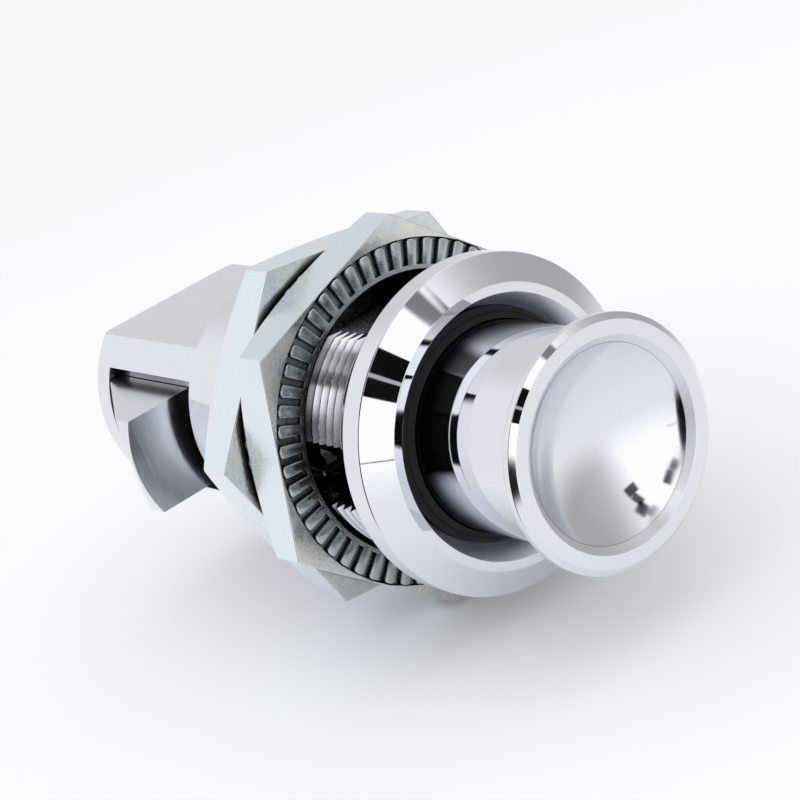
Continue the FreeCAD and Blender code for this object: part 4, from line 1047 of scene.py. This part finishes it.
class LOCK_OT_stage(Operator):
    """Floor, light, cards and camera"""

    bl_idname = "lock.stage"
    bl_label = "Stage"

    def execute(self, context):
        self.floor(context)
        self.world(context)
        self.camera(context)
        return {"FINISHED"}

    def floor(self, context):
        """A wide pale table that keeps the lock's shadow."""
        height, half = -17.2, 2500
        floor = place_mesh("table_top", [(-half, -half, height), (half, -half, height),
                                         (half, half, height), (-half, half, height)],
                           [(0, 1, 2, 3)])
        material, tree, shader, place = new_material(
            "matt paper", context.scene.lock_colours.floor, 0.9, metallic=0.0)
        # The paper thins out to nothing, so no horizon shows in the chrome
        reach = add(tree, "ShaderNodeVectorMath", [place], out="Value", operation="LENGTH")
        glossy = add(tree, "ShaderNodeLightPath", out="Is Glossy Ray")
        edges = [add(tree, "ShaderNodeMapRange", [glossy, 0.0, 1.0, far, near])
                 for far, near in ((0.09, 0.03), (0.24, 0.055))]
        solid = add(tree, "ShaderNodeMapRange", [reach, *edges, 1.0, 0.0],
                    interpolation_type="SMOOTHSTEP")
        tree.links.new(solid, shader.inputs["Alpha"])
        floor.data.materials.append(material)

    def world(self, context):
        """A light tent. Reflections also see the dark shapes of the room behind the camera."""
        world = bpy.data.worlds.new("light tent")
        context.scene.world = world
        world.use_nodes = True
        tree = world.node_tree
        tree.nodes.clear()
        ray = add(tree, "ShaderNodeTexCoord", out="Generated")
        # Brighter in front on the left, duller on the right
        light = 1.0
        for place, start, end, low, high in (
            ((-30, 15), -0.2, 0.75, 1.05, 1.4), ((62, 5), 0.55, 0.95, 1.0, 0.5),
        ):
            level = add(tree, "ShaderNodeMapRange",
                        [facing(tree, ray, place), start, end, low, high],
                        interpolation_type="SMOOTHSTEP")
            light = add(tree, "ShaderNodeMath", [light, level], operation="MULTIPLY")
        # Below the horizon the tent is the same pale paper
        height = add(tree, "ShaderNodeSeparateXYZ", [ray], out="Z")
        below = add(tree, "ShaderNodeMapRange", [height, 0.0, -0.45],
                    interpolation_type="SMOOTHSTEP")
        light = add(tree, "ShaderNodeMix", {0: below, 2: light, 3: 1.08})
        for card in CARDS:
            shade = dark_card(tree, ray, *card)
            light = add(tree, "ShaderNodeMath", [light, shade], operation="MULTIPLY")
        # The paper's own light comes more from the left
        left = add(tree, "ShaderNodeMapRange", [facing(tree, ray, (-65, 40)), -0.3, 1.0, 0.7, 1.53])
        paper = rgba(context.scene.lock_colours.floor)
        seen, cast, plain = (
            add(tree, "ShaderNodeBackground", {"Color": paper, "Strength": strength})
            for strength in (light, left, 1.0))
        rays = add(tree, "ShaderNodeLightPath").node.outputs
        both = add(tree, "ShaderNodeMixShader", [rays["Is Camera Ray"], cast, plain])
        both = add(tree, "ShaderNodeMixShader", [rays["Is Glossy Ray"], both, seen])
        add(tree, "ShaderNodeOutputWorld", [both])

    def camera(self, context):
        """The photograph's viewpoint, from a fit to the round and hexagonal edges."""
        data = bpy.data.cameras.new("camera")
        data.sensor_width = 36.0
        data.lens = 102.077
        data.clip_start = 0.01
        camera = bpy.data.objects.new("camera", data)
        camera.location = Vector((-93.692, -141.606, 66.135)) * MM
        camera.rotation_euler = Euler([math.radians(a) for a in (68.8234, 18.3705, -38.5184)])
        context.scene.collection.objects.link(camera)
        context.scene.camera = camera


class LOCK_PT_build(Panel):
    """Sidebar panel that builds the lock piece by piece"""

    bl_idname = "LOCK_PT_build"
    bl_label = "Cabinet Lock"
    bl_space_type = "VIEW_3D"
    bl_region_type = "UI"
    bl_category = "Cabinet Lock"

    def draw(self, context):
        for piece in PIECES:
            self.layout.operator(piece.bl_idname)
        for group in (context.scene.lock_sizes, context.scene.lock_colours):
            column = self.layout.column()
            for name in group.__annotations__:
                column.prop(group, name)


PIECES = (
    LOCK_OT_knob, LOCK_OT_thumb_dish, LOCK_OT_rosette, LOCK_OT_dust_seal, LOCK_OT_barrel,
    LOCK_OT_nuts, LOCK_OT_housing, LOCK_OT_end_cap, LOCK_OT_screws, LOCK_OT_latch_bolt,
    LOCK_OT_springs, LOCK_OT_inner_works, LOCK_OT_stage,
)
CLASSES = (LockSizes, LockColours) + PIECES + (LOCK_PT_build,)


def register():
    for item in CLASSES:
        bpy.utils.register_class(item)
    bpy.types.Scene.lock_sizes = PointerProperty(type=LockSizes)
    bpy.types.Scene.lock_colours = PointerProperty(type=LockColours)


def unregister():
    del bpy.types.Scene.lock_colours
    del bpy.types.Scene.lock_sizes
    for item in reversed(CLASSES):
        bpy.utils.unregister_class(item)


def main():
    """Builds every piece in order."""
    register()
    bpy.context.scene.view_settings.view_transform = "Standard"
    for piece in PIECES:
        group, name = piece.bl_idname.split(".")
        getattr(getattr(bpy.ops, group), name)()


if __name__ == "__main__":
    main()
